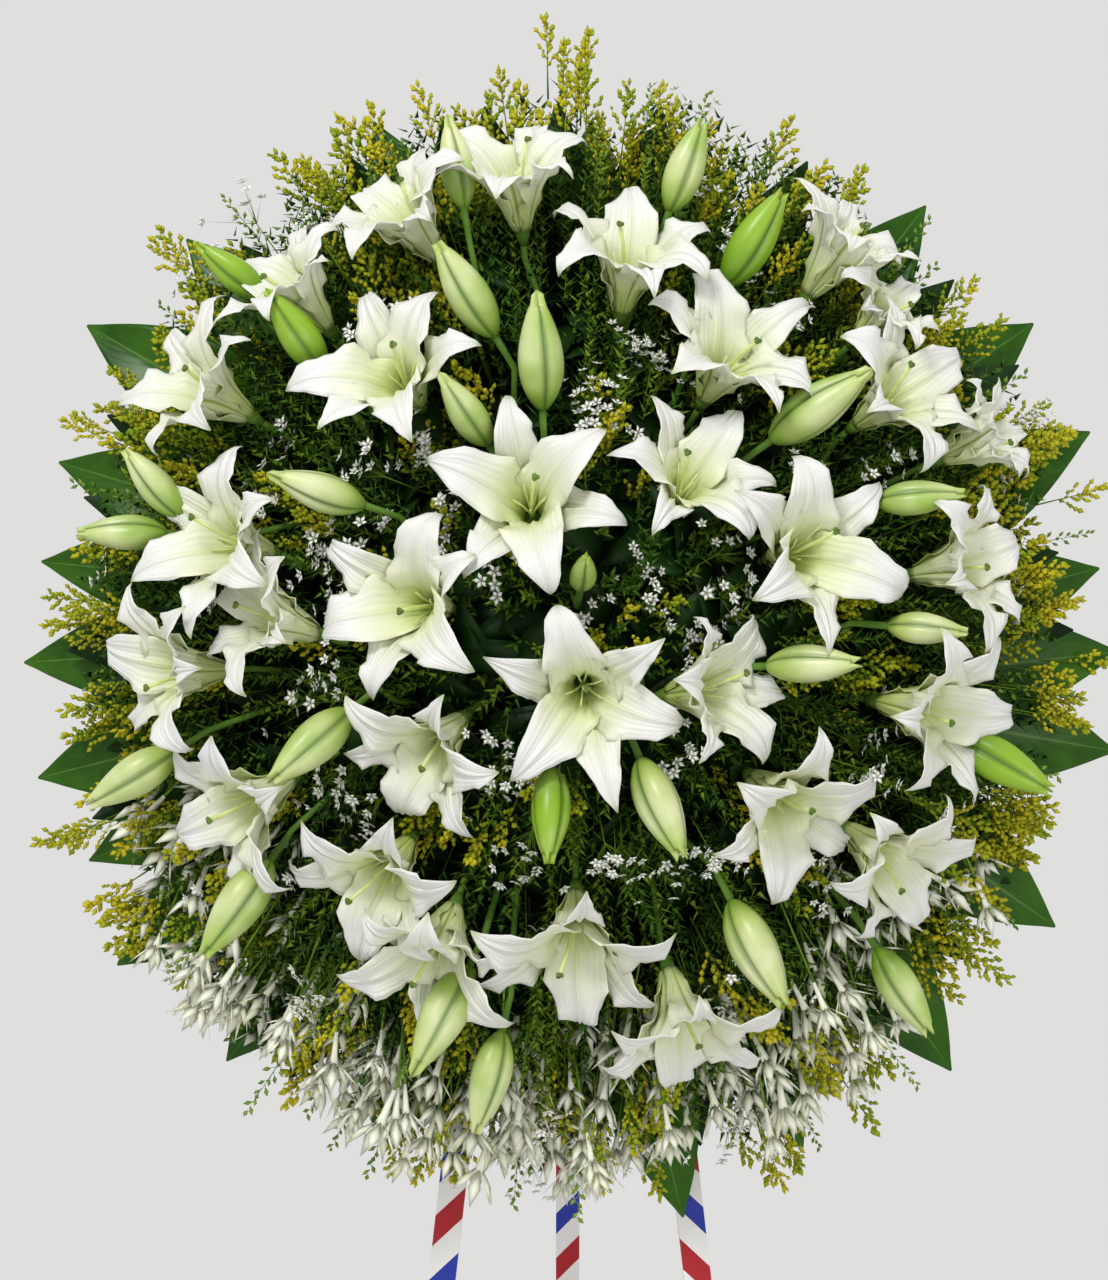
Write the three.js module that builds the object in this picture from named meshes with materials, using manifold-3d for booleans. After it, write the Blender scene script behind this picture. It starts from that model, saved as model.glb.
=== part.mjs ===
// A funeral wreath on its stand: a domed disc of white lilies, lily buds, goldenrod, small white
// filler and tuberose, edged with broad leaves, on a wooden tripod whose legs are wrapped in
// white sleeves with a red and a blue spiral.
//
// Millimetres, +Z up, the wreath faces -Y, and the floor is z = 0. The flowers are laid out in the
// wreath's own frame: X to the right, Y up along the lean, Z out of the dome towards the viewer.
import * as THREE from "three";
import { mergeVertices } from "three/addons/utils/BufferGeometryUtils.js";
import Module from "manifold-3d";

const wasm = await Module();
wasm.setup();

// ---------------------------------------------------------------- driving dimensions
const GAP = 0.35; // between pieces that touch
const PLANT_GAP = 1.6; // between plants, whose short edges are folded away afterwards
const FOLD = 0.2; // the most that folding a short edge moves a plant's surface
const LEAN = THREE.MathUtils.degToRad(8); // the front legs and the wreath lean back
const CENTRE_HEIGHT = 1170; // floor to the middle of the wreath

const LEG_SIDE = 22; // a square wooden leg
const LEG_SPLAY = THREE.MathUtils.degToRad(6.4); // each front leg opens outwards
const LEG_TOP = 330; // wreath's middle to the front legs' top ends
const LEG_TOP_HALF = 14; // a front leg's centre line from the middle, at its top
const BACK_FOOT = 335; // how far the back leg's foot stands behind its top
const SLEEVE_WALL = 1.2;
const SLEEVE_TOP = -215; // the sleeves end under the flowers
const SLEEVE_ABOVE_FLOOR = 4;

const RAIL = { thick: 18, high: 40 };
const UPPER_RAIL = { y: 110, half: 90 };
const LOWER_RAIL = { y: -130, half: 112 };
const APEX = { high: 80, thick: 22, half: 30 };
const BOLT = { radius: 3, head: 6.5, headThick: 4, sides: 12 };
const APEX_BOLT_DROP = 30; // the apex bolt's head from the back leg's top
const BITE = 3; // how far a bolt goes through the last piece that it holds

const ROUND = 24; // sides of the tray and the foam
const TRAY = { radius: 205, wall: 5, floor: 4, high: 38 };
const FOAM = { radius: TRAY.radius - TRAY.wall - GAP, shoulder: 42, high: 112 };
const CORE = new THREE.Vector3(0, 0, 30); // the stems fan out from here, inside the foam
const INTO_FLOWER = 7; // how far a stalk runs on into its flower or leaf
const LOWEST_RISE = 0.16; // a stem rises this much at least, to clear the tray's wall

// The mouths of the blooms lie on this half ellipsoid.
const DOME = { x: 480, y: 530, z: 235 };

// ---------------------------------------------------------------- planting plan
// Lily stems. A bloom is [x, y, faces, tilt, length, spin, flare]: its mouth's place on the dome,
// the heading and angle from the dome's axis that it faces, the length of its petals, the heading
// of one broad petal, and how far it has opened. A bud is [x, y, heading, lift, length].
const LILY_STEMS = [
  { blooms: [[-38, 110, 110, 14, 130, 45, 1]], buds: [[10, 48, 80, 62, 62], [-27, 235, 93, 20, 108]] },
  {
    blooms: [[10, -58, 270, 12, 132, 104, 1]],
    buds: [[-18, -157, 268, 22, 92], [76, -152, 293, 20, 104]],
  },
  { blooms: [[-140, 22, 175, 30, 126, 78, 1]], buds: [[-215, 118, 162, 18, 92]] },
  {
    blooms: [[-154, 222, 130, 32, 124, 60, 1]],
    buds: [[-90, 185, 125, 30, 84], [-90, 290, 122, 15, 102]],
  },
  {
    blooms: [[52, 325, 80, 52, 122, 90, 1], [-48, 400, 96, 60, 112, 25, 1]],
    buds: [[100, 403, 70, 10, 92]],
  },
  { blooms: [[137, 237, 60, 42, 124, 100, 1]], buds: [[158, 338, 58, 12, 104]] },
  { blooms: [[103, 131, 58, 36, 112, 57, 1], [125, -50, 8, 48, 112, 60, 1]], buds: [] },
  { blooms: [[205, 67, 10, 28, 130, 94, 1]], buds: [[212, 190, 35, 18, 112], [300, 112, 5, 15, 84]] },
  { blooms: [[187, -155, 318, 40, 124, 26, 1]], buds: [[205, -30, 2, 25, 92]] },
  {
    blooms: [[315, -73, 348, 48, 124, 117, 1]],
    buds: [[305, 0, 355, 20, 76], [378, -118, 330, 12, 104]],
  },
  { blooms: [[278, -202, 322, 48, 116, 65, 1]], buds: [[292, -318, 302, 12, 96]] },
  {
    blooms: [[345, 56, 10, 54, 110, 22, 1], [287, 206, 36, 46, 118, 37, 1], [362, 168, 25, 66, 84, 80, 0.7]],
    buds: [],
  },
  { blooms: [[236, 335, 55, 66, 104, 10, 0.8], [275, 280, 45, 60, 72, 40, 1]], buds: [] },
  { blooms: [[-147, 365, 128, 60, 112, 20, 1]], buds: [[-100, 405, 100, 10, 84]] },
  {
    blooms: [[-243, 300, 130, 62, 104, 40, 0.85], [-325, 213, 150, 58, 112, 70, 1]],
    buds: [[-296, 314, 143, 10, 80], [-236, 256, 125, 22, 92], [-362, 128, 130, 12, 84]],
  },
  {
    blooms: [[-305, 78, 165, 45, 124, 84, 1], [-262, 12, 160, 60, 104, 30, 1]],
    buds: [[-392, 84, 180, 8, 86]],
  },
  { blooms: [[-350, -37, 182, 52, 118, 54, 1]], buds: [[-384, -130, 212, 10, 100]] },
  {
    blooms: [[-284, -155, 212, 50, 120, 84, 1]],
    buds: [[-222, -100, 222, 24, 104], [-290, -242, 235, 15, 110]],
  },
  { blooms: [[-166, -217, 232, 42, 124, 6, 1], [-125, -105, 222, 44, 116, 5, 1]], buds: [] },
  {
    blooms: [[-118, -282, 248, 50, 116, 80, 1]],
    buds: [[-112, -335, 242, 20, 112], [-72, -392, 255, 10, 98]],
  },
  { blooms: [[4, -275, 270, 46, 128, 27, 1]], buds: [] },
  { blooms: [[98, -345, 285, 56, 118, 30, 1]], buds: [[160, -278, 297, 18, 112]] },
];

// Broad leaves, one or two to a twig: [tip x, tip y, heading, length, width].
const LEAF_TWIGS = [
  [[327, 390, 52, 200, 92], [428, 283, 34, 205, 98]],
  [[478, 182, 26, 215, 98], [489, 57, 14, 205, 94]],
  [[505, -20, 6, 215, 98], [504, -112, 350, 225, 104]],
  [[446, -273, 325, 210, 98], [352, -407, 305, 205, 94]],
  [[104, -540, 284, 210, 86], [215, -478, 294, 190, 84]],
  [[-179, -472, 250, 200, 88], [-317, -398, 232, 190, 86]],
  [[-416, -308, 217, 210, 98], [-444, -213, 204, 195, 88]],
  [[-489, -136, 194, 205, 94], [-504, -30, 184, 210, 96]],
  [[-486, 63, 174, 190, 84], [-472, 155, 163, 200, 92]],
  [[-444, 280, 150, 205, 98], [-354, 361, 134, 205, 94]],
  [[-180, 467, 112, 205, 94], [20, 470, 88, 180, 80]],
];

// Goldenrod round the rim, five or six sprays to a bunch: [tip x, tip y, tip z].
const GOLDENROD_BUNCHES = [
  [[37, 517, 48], [99, 508, 35], [143, 490, 64], [244, 462, 48], [327, 352, 72], [391, 313, 40]],
  [[467, 198, 48], [476, 112, 35], [488, 20, 56], [492, -200, 40], [403, -343, 48]],
  [[299, -458, 40], [69, -528, 48], [-20, -505, 64], [-156, -500, 40], [-267, -452, 48]],
  [[-373, -366, 48], [-465, -184, 48], [-478, -83, 56], [-500, 23, 35], [-483, 101, 64]],
  [[-428, 216, 56], [-388, 313, 35], [-340, 384, 40], [-253, 462, 48], [-180, 430, 72], [-106, 504, 40]],
];

// Small white filler between the lilies: [x, y] of each flower head.
const FILLER_BUNCHES = [
  [[40, 225], [75, 260], [20, 180], [150, 30], [60, 30], [190, 290]],
  [[270, -120], [230, -245], [130, -215], [90, -110], [150, -330], [340, -260], [30, -190], [-40, -330]],
  [[-200, 150], [-95, 80], [-230, 40], [-300, 150], [-200, -40], [-150, 120], [-60, -130], [-210, -150]],
];

// Tuberose, hanging under the rim: [x, y] of each flower's mouth.
const TUBEROSE_BUNCHES = [
  [[-310, -330], [-345, -300], [-285, -385], [-330, -365]],
  [[-200, -420], [-150, -445], [-165, -405], [-105, -460]],
  [[-55, -470], [-15, -490], [25, -475], [65, -485]],
  [[120, -450], [165, -440], [205, -410], [250, -385]],
];

// ---------------------------------------------------------------- frames
const OUT = new THREE.Vector3(0, 0, 1);
const ALONG_CYLINDER = new THREE.Vector3(0, 1, 0);
const radians = THREE.MathUtils.degToRad;

const wreath = new THREE.Group();
wreath.rotation.x = Math.PI / 2 - LEAN;
wreath.position.z = CENTRE_HEIGHT;
wreath.updateMatrix();
const toWreath = wreath.matrix.clone().invert();

// World y and z of a point in the wreath's middle plane.
function middlePlane(y, z) {
  const p = new THREE.Vector3(0, y, z).applyMatrix4(wreath.matrix);
  return new THREE.Vector2(p.y, p.z);
}

// ---------------------------------------------------------------- solids
function solid(geometry) {
  const bare = geometry.clone();
  bare.deleteAttribute("normal");
  bare.deleteAttribute("uv");
  const merged = mergeVertices(bare, 1e-3);
  return new wasm.Manifold(
    new wasm.Mesh({
      numProp: 3,
      vertProperties: merged.attributes.position.array,
      triVerts: new Uint32Array(merged.index.array),
    }),
  );
}

function geometryOf(made) {
  const { vertProperties, triVerts, numProp, numVert } = made.getMesh();
  const positions = new Float32Array(numVert * 3);
  for (let i = 0; i < numVert; i++) {
    positions.set(vertProperties.subarray(i * numProp, i * numProp + 3), i * 3);
  }
  const geometry = new THREE.BufferGeometry();
  geometry.setAttribute("position", new THREE.BufferAttribute(positions, 3));
  geometry.setIndex(new THREE.BufferAttribute(triVerts, 1));
  geometry.computeVertexNormals();
  return geometry;
}

const joined = (solids) => wasm.Manifold.union(solids);

// The biggest body of a solid whose shortest edges are folded away first.
function oneBody(made) {
  const tidy = solid(geometryOf(made.simplify(FOLD)));
  return tidy.decompose().reduce((a, b) => (a.volume() > b.volume() ? a : b));
}

function boxesMeet(a, b) {
  return a.min.every((low, i) => low < b.max[i] && b.min[i] < a.max[i]);
}

// A solid with the cutters that come near it taken away.
function cutBy(made, cutters) {
  const box = made.boundingBox();
  const near = cutters.filter((cutter) => boxesMeet(box, cutter.boundingBox()));
  return wasm.Manifold.difference([made, ...near]);
}

// A round rod from one point to another, tapering to its end.
function rod(from, to, radius, endRadius = radius, sides = 4) {
  const along = to.clone().sub(from);
  const turn = new THREE.Quaternion().setFromUnitVectors(ALONG_CYLINDER, along.clone().normalize());
  const geometry = new THREE.CylinderGeometry(endRadius, radius, along.length(), sides)
    .translate(0, along.length() / 2, 0)
    .applyQuaternion(turn)
    .translate(from.x, from.y, from.z);
  return solid(geometry);
}

// A closed sheet: place(u, s, t) puts a point that is u across (-1 to 1), s along (0 to 1) and
// t through (-0.5 to 0.5) the sheet.
function sheet(across, along, place) {
  const geometry = new THREE.BoxGeometry(2, 1, 1, across, along, 1).translate(0, 0.5, 0);
  const position = geometry.attributes.position;
  for (let i = 0; i < position.count; i++) {
    const p = place(position.getX(i), position.getY(i), position.getZ(i));
    position.setXYZ(i, p.x, p.y, p.z);
  }
  return geometry;
}

// A board whose outline is drawn in the world's middle plane, with y as x and z as y.
function sideBoard(outline, thickness) {
  const shape = new THREE.Shape(outline);
  const turn = new THREE.Matrix4().makeBasis(
    new THREE.Vector3(0, 1, 0),
    new THREE.Vector3(0, 0, 1),
    new THREE.Vector3(1, 0, 0),
  );
  return new THREE.ExtrudeGeometry(shape, { depth: thickness, bevelEnabled: false })
    .translate(0, 0, -thickness / 2)
    .applyMatrix4(turn);
}

// ---------------------------------------------------------------- plants
function heading(degrees) {
  return new THREE.Vector3(Math.cos(radians(degrees)), Math.sin(radians(degrees)), 0);
}

function domeDepth(x, y) {
  return DOME.z * Math.sqrt(Math.max(0.03, 1 - (x / DOME.x) ** 2 - (y / DOME.y) ** 2));
}

// A direction at an angle from the dome's axis, towards a heading.
function facing(headingDegrees, tilt) {
  return heading(headingDegrees)
    .multiplyScalar(Math.sin(radians(tilt)))
    .addScaledVector(OUT, Math.cos(radians(tilt)));
}

const PETAL = { broad: 0.38, narrow: 0.29, thickness: 2.6, cup: 0.22, throat: 7 };
const TUBE_PART = 0.4; // the tube's wall is as thick as a petal this far from its midrib
const THROAT_FLOOR = 2; // the flower's axis: the hollow ends here
const HEEL = 8; // and the flower's back ends this far below its base
const PARTS_AT = 0.36; // how far up the tube the petals part
const WIDEST_AT = 0.68;

const midribAngle = (s, flare) => radians(12 + 93 * flare * s ** 1.6);

// A lily petal's midrib: its distance from the flower's axis and its height, at s along it.
function midrib(s, length, flare) {
  const steps = 12;
  let [r, h] = [PETAL.throat, 0];
  for (let i = 0; i < steps; i++) {
    const angle = midribAngle(((i + 0.5) * s) / steps, flare);
    r += (Math.sin(angle) * length * s) / steps;
    h += (Math.cos(angle) * length * s) / steps;
  }
  return [r, h];
}

// A thin blade is thickest along its middle and sharp at both edges.
const through = (u, grow) => PETAL.thickness * (1 - Math.abs(u)) + 2 * grow;

// A point of a bloom that opens along +Z: s along a petal, across it, and in its thickness.
function petalPoint(azimuth, s, across, offset, length, flare) {
  const radial = heading(azimuth);
  const side = OUT.clone().cross(radial);
  const [r, h] = midrib(s, length, flare);
  const angle = midribAngle(s, flare);
  return radial
    .clone()
    .multiplyScalar(r - Math.cos(angle) * offset)
    .addScaledVector(OUT, h + Math.sin(angle) * offset)
    .addScaledVector(side, across);
}

// A whole bloom as one closed skin: a tube that parts into six petals, opening along +Z.
function corolla(length, spin, flare, grow) {
  const reach = length + grow;
  const skin = [];
  const quad = (a, b, c, d) => skin.push(a, b, c, a, c, d);
  const face = (inner, outer, ring) => {
    quad(...ring.map((corner) => inner(corner)));
    quad(...ring.map((corner) => outer(corner)).reverse());
  };
  for (let k = 0; k < 6; k++) {
    const azimuth = spin + 60 * k;
    const width = length * (k % 2 ? PETAL.narrow : PETAL.broad);
    const blade = (layer) => ([s, u]) => {
      if (s > PARTS_AT || u === 0) {
        const half = s === 1 ? grow : width / 2 + grow;
        const cupped = PETAL.cup * half * u * u * (1 - s);
        const offset = cupped + (layer * through(s === 1 ? 1 : u, grow)) / 2;
        return petalPoint(azimuth, s, u * half, offset, reach, flare);
      }
      const wall = layer * through(TUBE_PART, grow);
      return petalPoint(azimuth + 30 * u, s, 0, wall / 2, reach, flare);
    };
    const [inner, outer] = [blade(1), blade(-1)];
    const rows = [0, PARTS_AT, WIDEST_AT, 1];
    for (let i = 0; i < 3; i++) {
      const [low, high] = [rows[i], rows[i + 1]];
      face(inner, outer, [[low, -1], [high, -1], [high, 0], [low, 0]]);
      face(inner, outer, [[low, 0], [high, 0], [high, 1], [low, 1]]);
      if (i > 0) {
        quad(inner([low, 1]), inner([high, 1]), outer([high, 1]), outer([low, 1]));
        quad(outer([low, -1]), outer([high, -1]), inner([high, -1]), inner([low, -1]));
      }
    }
    quad(inner([1, -1]), outer([1, -1]), outer([1, 0]), inner([1, 0]));
    quad(inner([1, 0]), outer([1, 0]), outer([1, 1]), inner([1, 1]));
    const hollow = new THREE.Vector3(0, 0, THROAT_FLOOR + grow);
    const heel = new THREE.Vector3(0, 0, -HEEL - grow);
    for (const u of [-1, 0]) {
      skin.push(hollow, inner([0, u]), inner([0, u + 1]));
      skin.push(heel, outer([0, u + 1]), outer([0, u]));
    }
  }
  return solid(new THREE.BufferGeometry().setFromPoints(skin));
}

// Where a bloom's mouth is, the way it faces, and the base its stalk meets.
function bloomPlace([x, y, faces, tilt, length]) {
  const mouth = new THREE.Vector3(x, y, domeDepth(x, y));
  const axis = facing(faces, tilt);
  return { axis, base: mouth.clone().addScaledVector(axis, -0.5 * length) };
}

function bloomSolid(plan, grow) {
  const [, , , , length, spin, flare] = plan;
  const { axis, base } = bloomPlace(plan);
  const turn = new THREE.Matrix4()
    .makeRotationFromQuaternion(new THREE.Quaternion().setFromUnitVectors(OUT, axis))
    .setPosition(base);
  return corolla(length, spin, flare, grow).transform(turn.elements);
}

const BUD = { slim: 0.17, above: 8 }; // its widest radius over its length, and its place over the dome

const budRadius = (s) => Math.sin(Math.PI * s ** 0.8) ** 0.85;

// Where a bud's middle is, the way it points, and the base its stalk meets.
function budPlace([x, y, points, lift, length]) {
  const axis = facing(points, 90 - lift);
  const middle = new THREE.Vector3(x, y, domeDepth(x, y) + BUD.above);
  return { axis, base: middle.clone().addScaledVector(axis, -0.5 * length) };
}

function budSolid(plan, grow) {
  const length = plan[4];
  const { axis, base } = budPlace(plan);
  const turn = new THREE.Quaternion().setFromUnitVectors(ALONG_CYLINDER, axis);
  const geometry = new THREE.SphereGeometry(1, 5, 4);
  const position = geometry.attributes.position;
  for (let i = 0; i < position.count; i++) {
    const s = (position.getY(i) + 1) / 2;
    const ring = Math.hypot(position.getX(i), position.getZ(i));
    const wide = ring < 1e-6 ? 0 : ((BUD.slim * length + grow) * budRadius(s)) / ring;
    position.setXYZ(i, position.getX(i) * wide, s * (length + grow), position.getZ(i) * wide);
  }
  geometry.applyQuaternion(turn).translate(base.x, base.y, base.z);
  return solid(geometry);
}

// The distance from the fan's centre to the foam's surface in a direction.
function foamReach(way) {
  return 1 / Math.hypot(way.x / FOAM.radius, way.y / FOAM.radius, way.z / (FOAM.high - CORE.z));
}

// Ways a stem's fork can stand aside of its straight line, tried in turn until the stem is clear.
const ASIDE = [[0, 0, 0]];
for (const far of [0.06, 0.12, 0.2, 0.3, 0.42]) {
  for (const out of [0, 14, 30, 48]) {
    for (let k = 0; k < 12; k++) {
      ASIDE.push([far * Math.cos((k * Math.PI) / 6), far * Math.sin((k * Math.PI) / 6), out]);
    }
  }
}

// A stem out of the foam that forks to each of the ends.
function forkedStem(ends, { radius, forkOut, tipRadius }, grow, [right, up, out]) {
  const mean = ends.reduce((sum, p) => sum.add(p), new THREE.Vector3()).divideScalar(ends.length);
  const way = mean.sub(CORE).normalize().add(new THREE.Vector3(right, up, 0));
  way.z = Math.max(way.z, LOWEST_RISE);
  way.normalize();
  const reach = foamReach(way);
  const root = CORE.clone().addScaledVector(way, reach * 0.62 - grow);
  const fork = CORE.clone().addScaledVector(way, reach + forkOut + out);
  const joint = fork.clone().addScaledVector(way, -radius);
  const tipOfStem = fork.clone().addScaledVector(way, grow);
  const stalks = ends.map((end) => {
    const into = end.clone().addScaledVector(end.clone().sub(fork).normalize(), INTO_FLOWER + grow);
    return rod(joint, into, tipRadius + grow, tipRadius + grow, 3);
  });
  return joined([rod(root, tipOfStem, radius + grow, radius + grow, 3), ...stalks]);
}

// Each plant gives its stems, which nothing cuts, and its flowers or leaves, which give way.
function lilyStem({ blooms, buds }, grow, aside) {
  const bases = [...blooms.map((b) => bloomPlace(b).base), ...buds.map((b) => budPlace(b).base)];
  const size = { radius: 4, forkOut: 14, tipRadius: 2.6 };
  return {
    stems: forkedStem(bases, size, grow, aside),
    soft: [...blooms.map((b) => bloomSolid(b, grow)), ...buds.map((b) => budSolid(b, grow))],
  };
}

const SPRAY = { from: 0.6, spread: 50, waist: 15, thick: 14 };

const LEAF = { bow: 14, fold: 0.16, behind: 12, droop: 93 };

const leafWidth = (s) => Math.max(0.07, Math.sin(Math.PI * s ** 0.72) ** 0.8 * (1 - 0.25 * s));

// The second leaf of a twig lies behind the first.
function leafPlace([tipX, tipY, points, length], order) {
  const tip = new THREE.Vector3(tipX, tipY, 2 - LEAF.behind * order);
  const axis = facing(points, LEAF.droop);
  return { axis, base: tip.clone().addScaledVector(axis, -length) };
}

function leafSolid(plan, order, grow) {
  const [, , , length, width] = plan;
  const { axis, base } = leafPlace(plan, order);
  const side = axis.clone().cross(OUT).normalize();
  const normal = side.clone().cross(axis).normalize();
  const place = (u, s, t) => {
    const half = (width * leafWidth(s)) / 2 + grow;
    const bow = LEAF.bow * Math.sin(Math.PI * s) + LEAF.fold * half * Math.abs(u);
    return base
      .clone()
      .addScaledVector(axis, s * (length + grow))
      .addScaledVector(side, u * half)
      .addScaledVector(normal, bow + t * through(u, grow));
  };
  return solid(sheet(2, 4, place));
}

function leafTwig(leaves, grow, aside) {
  const bases = leaves.map((leaf, order) => leafPlace(leaf, order).base);
  return {
    stems: forkedStem(bases, { radius: 3, forkOut: 12, tipRadius: 1.8 }, grow, aside),
    soft: leaves.map((leaf, order) => leafSolid(leaf, order, grow)),
  };
}

// A goldenrod spray: one flat blade of bloom with a long plume and a shorter one to either side.
function goldenrodSpray(from, tip, grow) {
  const along = tip.clone().sub(from);
  const length = along.length();
  const wide = SPRAY.spread + grow;
  const half = [
    [0, -0.12 * length - 2 * grow],
    [wide, 0.62 * length + grow],
    [SPRAY.waist + grow, 0.58 * length + 1.5 * grow],
    [SPRAY.waist * 0.8 + grow, 0.84 * length],
    [0, length + 3 * grow],
  ];
  const outline = [...half, ...half.slice(1, -1).reverse().map(([x, y]) => [-x, y])];
  const thick = SPRAY.thick + 2 * grow;
  const way = along.clone().normalize();
  const side = way.clone().cross(OUT).normalize();
  const frame = new THREE.Matrix4().makeBasis(side, way, side.clone().cross(way)).setPosition(from);
  const shape = new THREE.Shape(outline.map(([x, y]) => new THREE.Vector2(x, y)));
  const geometry = new THREE.ExtrudeGeometry(shape, { depth: thick, bevelEnabled: false });
  return solid(geometry.translate(0, 0, -thick / 2).applyMatrix4(frame));
}

function goldenrodBunch(tips, grow, aside) {
  const ends = tips.map(([x, y, z]) => new THREE.Vector3(x, y, z));
  const starts = ends.map((tip) => CORE.clone().lerp(tip, SPRAY.from));
  return {
    stems: forkedStem(starts, { radius: 2.6, forkOut: 10, tipRadius: 1.4 }, grow, aside),
    soft: ends.map((tip, i) => goldenrodSpray(starts[i], tip, grow)),
  };
}

const FILLER = { radius: 15, sunk: 22 };

function fillerBunch(heads, grow, aside) {
  const ends = heads.map(([x, y]) => new THREE.Vector3(x, y, domeDepth(x, y) - FILLER.sunk));
  return {
    stems: forkedStem(ends, { radius: 2.4, forkOut: 8, tipRadius: 1.1 }, grow, aside),
    soft: ends.map(({ x, y, z }) => {
      return solid(new THREE.IcosahedronGeometry(FILLER.radius + grow, 0).translate(x, y, z));
    }),
  };
}

const TUBEROSE = { length: 52, points: 270, tilt: 78, share: 0.55, neck: 3, mouth: 12 };

function tuberoseBunch(mouths, grow, aside) {
  const way = facing(TUBEROSE.points, TUBEROSE.tilt);
  const bells = mouths.map(([x, y]) => {
    const mouth = new THREE.Vector3(x, y, domeDepth(x, y) * TUBEROSE.share);
    return { mouth, base: mouth.clone().addScaledVector(way, -TUBEROSE.length) };
  });
  const bases = bells.map((bell) => bell.base);
  const [neck, wide] = [TUBEROSE.neck + grow, TUBEROSE.mouth + grow];
  return {
    stems: forkedStem(bases, { radius: 2.6, forkOut: 10, tipRadius: 1.3 }, grow, aside),
    soft: bells.map(({ base, mouth }) => rod(base, mouth, neck, wide, 6)),
  };
}

// The most-forked bunches go in first.
const PLANTS = [
  ["goldenrod", "goldenrod", GOLDENROD_BUNCHES, goldenrodBunch],
  ["tuberose", "tuberose", TUBEROSE_BUNCHES, tuberoseBunch],
  ["white_filler", "filler", FILLER_BUNCHES, fillerBunch],
  ["lily_stem", "lily", LILY_STEMS, lilyStem],
  ["leaf_twig", "leaf", LEAF_TWIGS, leafTwig],
];

// ---------------------------------------------------------------- materials and meshes
const MATERIALS = {
  wood: { color: 0xb08a5b, roughness: 0.7 },
  sleeve: { color: 0xe8e6e2, roughness: 0.4 },
  steel: { color: 0x9a9a9a, roughness: 0.4, metalness: 1 },
  tray: { color: 0x1f3d22, roughness: 0.5 },
  foam: { color: 0x2f5a35, roughness: 0.95 },
  lily: { color: 0xf2f2e4, roughness: 0.55 },
  leaf: { color: 0x1f5a1c, roughness: 0.35 },
  goldenrod: { color: 0x8f8f1e, roughness: 0.8 },
  filler: { color: 0xf0efe0, roughness: 0.7 },
  tuberose: { color: 0xeeeedc, roughness: 0.6 },
};

function mesh(name, slot, geometry) {
  const made = new THREE.Mesh(geometry, new THREE.MeshStandardMaterial(MATERIALS[slot]));
  made.name = name;
  return made;
}

// ---------------------------------------------------------------- stand
const railBack = -GAP - RAIL.thick;
const legFront = railBack - GAP;
const legBack = legFront - LEG_SIDE;
const GROUND = { wide: 3000, deep: 400 };

// The ground under a level, in the world's frame and in the wreath's.
function groundUnder(level) {
  const { wide, deep } = GROUND;
  return new THREE.BoxGeometry(wide, wide, deep).translate(0, 0, level - deep / 2);
}
const worldGround = (level) => solid(groundUnder(level));
const wreathGround = (level) => solid(groundUnder(level).applyMatrix4(toWreath));

// The frame of a front leg: its middle at the top end, with Y up along the leg.
function frontLegFrame(side) {
  return new THREE.Matrix4()
    .makeRotationZ(side * LEG_SPLAY)
    .setPosition(side * LEG_TOP_HALF, LEG_TOP, legFront - LEG_SIDE / 2);
}

const longEnough = (CENTRE_HEIGHT + LEG_TOP) * 1.1;

function legBox(side, from, to) {
  return new THREE.BoxGeometry(side, from - to, side).translate(0, (from + to) / 2, 0);
}

function sleeveTube(from, to, frame) {
  const inner = LEG_SIDE + 2 * GAP;
  const outside = solid(legBox(inner + 2 * SLEEVE_WALL, from, to).applyMatrix4(frame));
  return outside.subtract(solid(legBox(inner, from + 20, to - 20).applyMatrix4(frame)));
}

function frontLeg(side) {
  const leg = solid(legBox(LEG_SIDE, 0, -longEnough).applyMatrix4(frontLegFrame(side)));
  return leg.subtract(wreathGround(0));
}

function frontSleeve(side) {
  const top = (SLEEVE_TOP - LEG_TOP) / Math.cos(LEG_SPLAY);
  return sleeveTube(top, -longEnough, frontLegFrame(side)).subtract(wreathGround(SLEEVE_ABOVE_FLOOR));
}

// The apex block is a wedge: its front lies on the front legs and its back on the back leg.
const apexTop = middlePlane(LEG_TOP, legBack - GAP);
const apexBottom = middlePlane(LEG_TOP - APEX.high, legBack - GAP);
const backTop = new THREE.Vector2(apexTop.x + APEX.thick + GAP, apexTop.y);
const backFoot = new THREE.Vector2(backTop.x + BACK_FOOT, 0);
const backWay = backFoot.clone().sub(backTop).normalize();
const backNormal = new THREE.Vector2(-backWay.y, backWay.x);
const backAt = (z) => backTop.x + ((z - backTop.y) * backWay.x) / backWay.y;

const apexBlock = sideBoard(
  [
    apexTop,
    apexBottom,
    new THREE.Vector2(backAt(apexBottom.y) - GAP, apexBottom.y),
    new THREE.Vector2(backTop.x - GAP, apexTop.y),
  ],
  2 * APEX.half,
);

// The back leg's frame: its middle at the top end, with Y up along the leg and X across.
const backLegFrame = new THREE.Matrix4()
  .makeBasis(
    new THREE.Vector3(1, 0, 0),
    new THREE.Vector3(0, -backWay.x, -backWay.y),
    new THREE.Vector3(0, backWay.y, -backWay.x),
  )
  .setPosition(0, backTop.x + (backNormal.x * LEG_SIDE) / 2, backTop.y + (backNormal.y * LEG_SIDE) / 2);

const wholeBackLeg = solid(legBox(LEG_SIDE, 0, -longEnough).applyMatrix4(backLegFrame));
const backLeg = wholeBackLeg.subtract(worldGround(0));
const wholeBackSleeve = sleeveTube(SLEEVE_TOP - LEG_TOP, -longEnough, backLegFrame);
const backSleeve = wholeBackSleeve.subtract(worldGround(SLEEVE_ABOVE_FLOOR));

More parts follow.
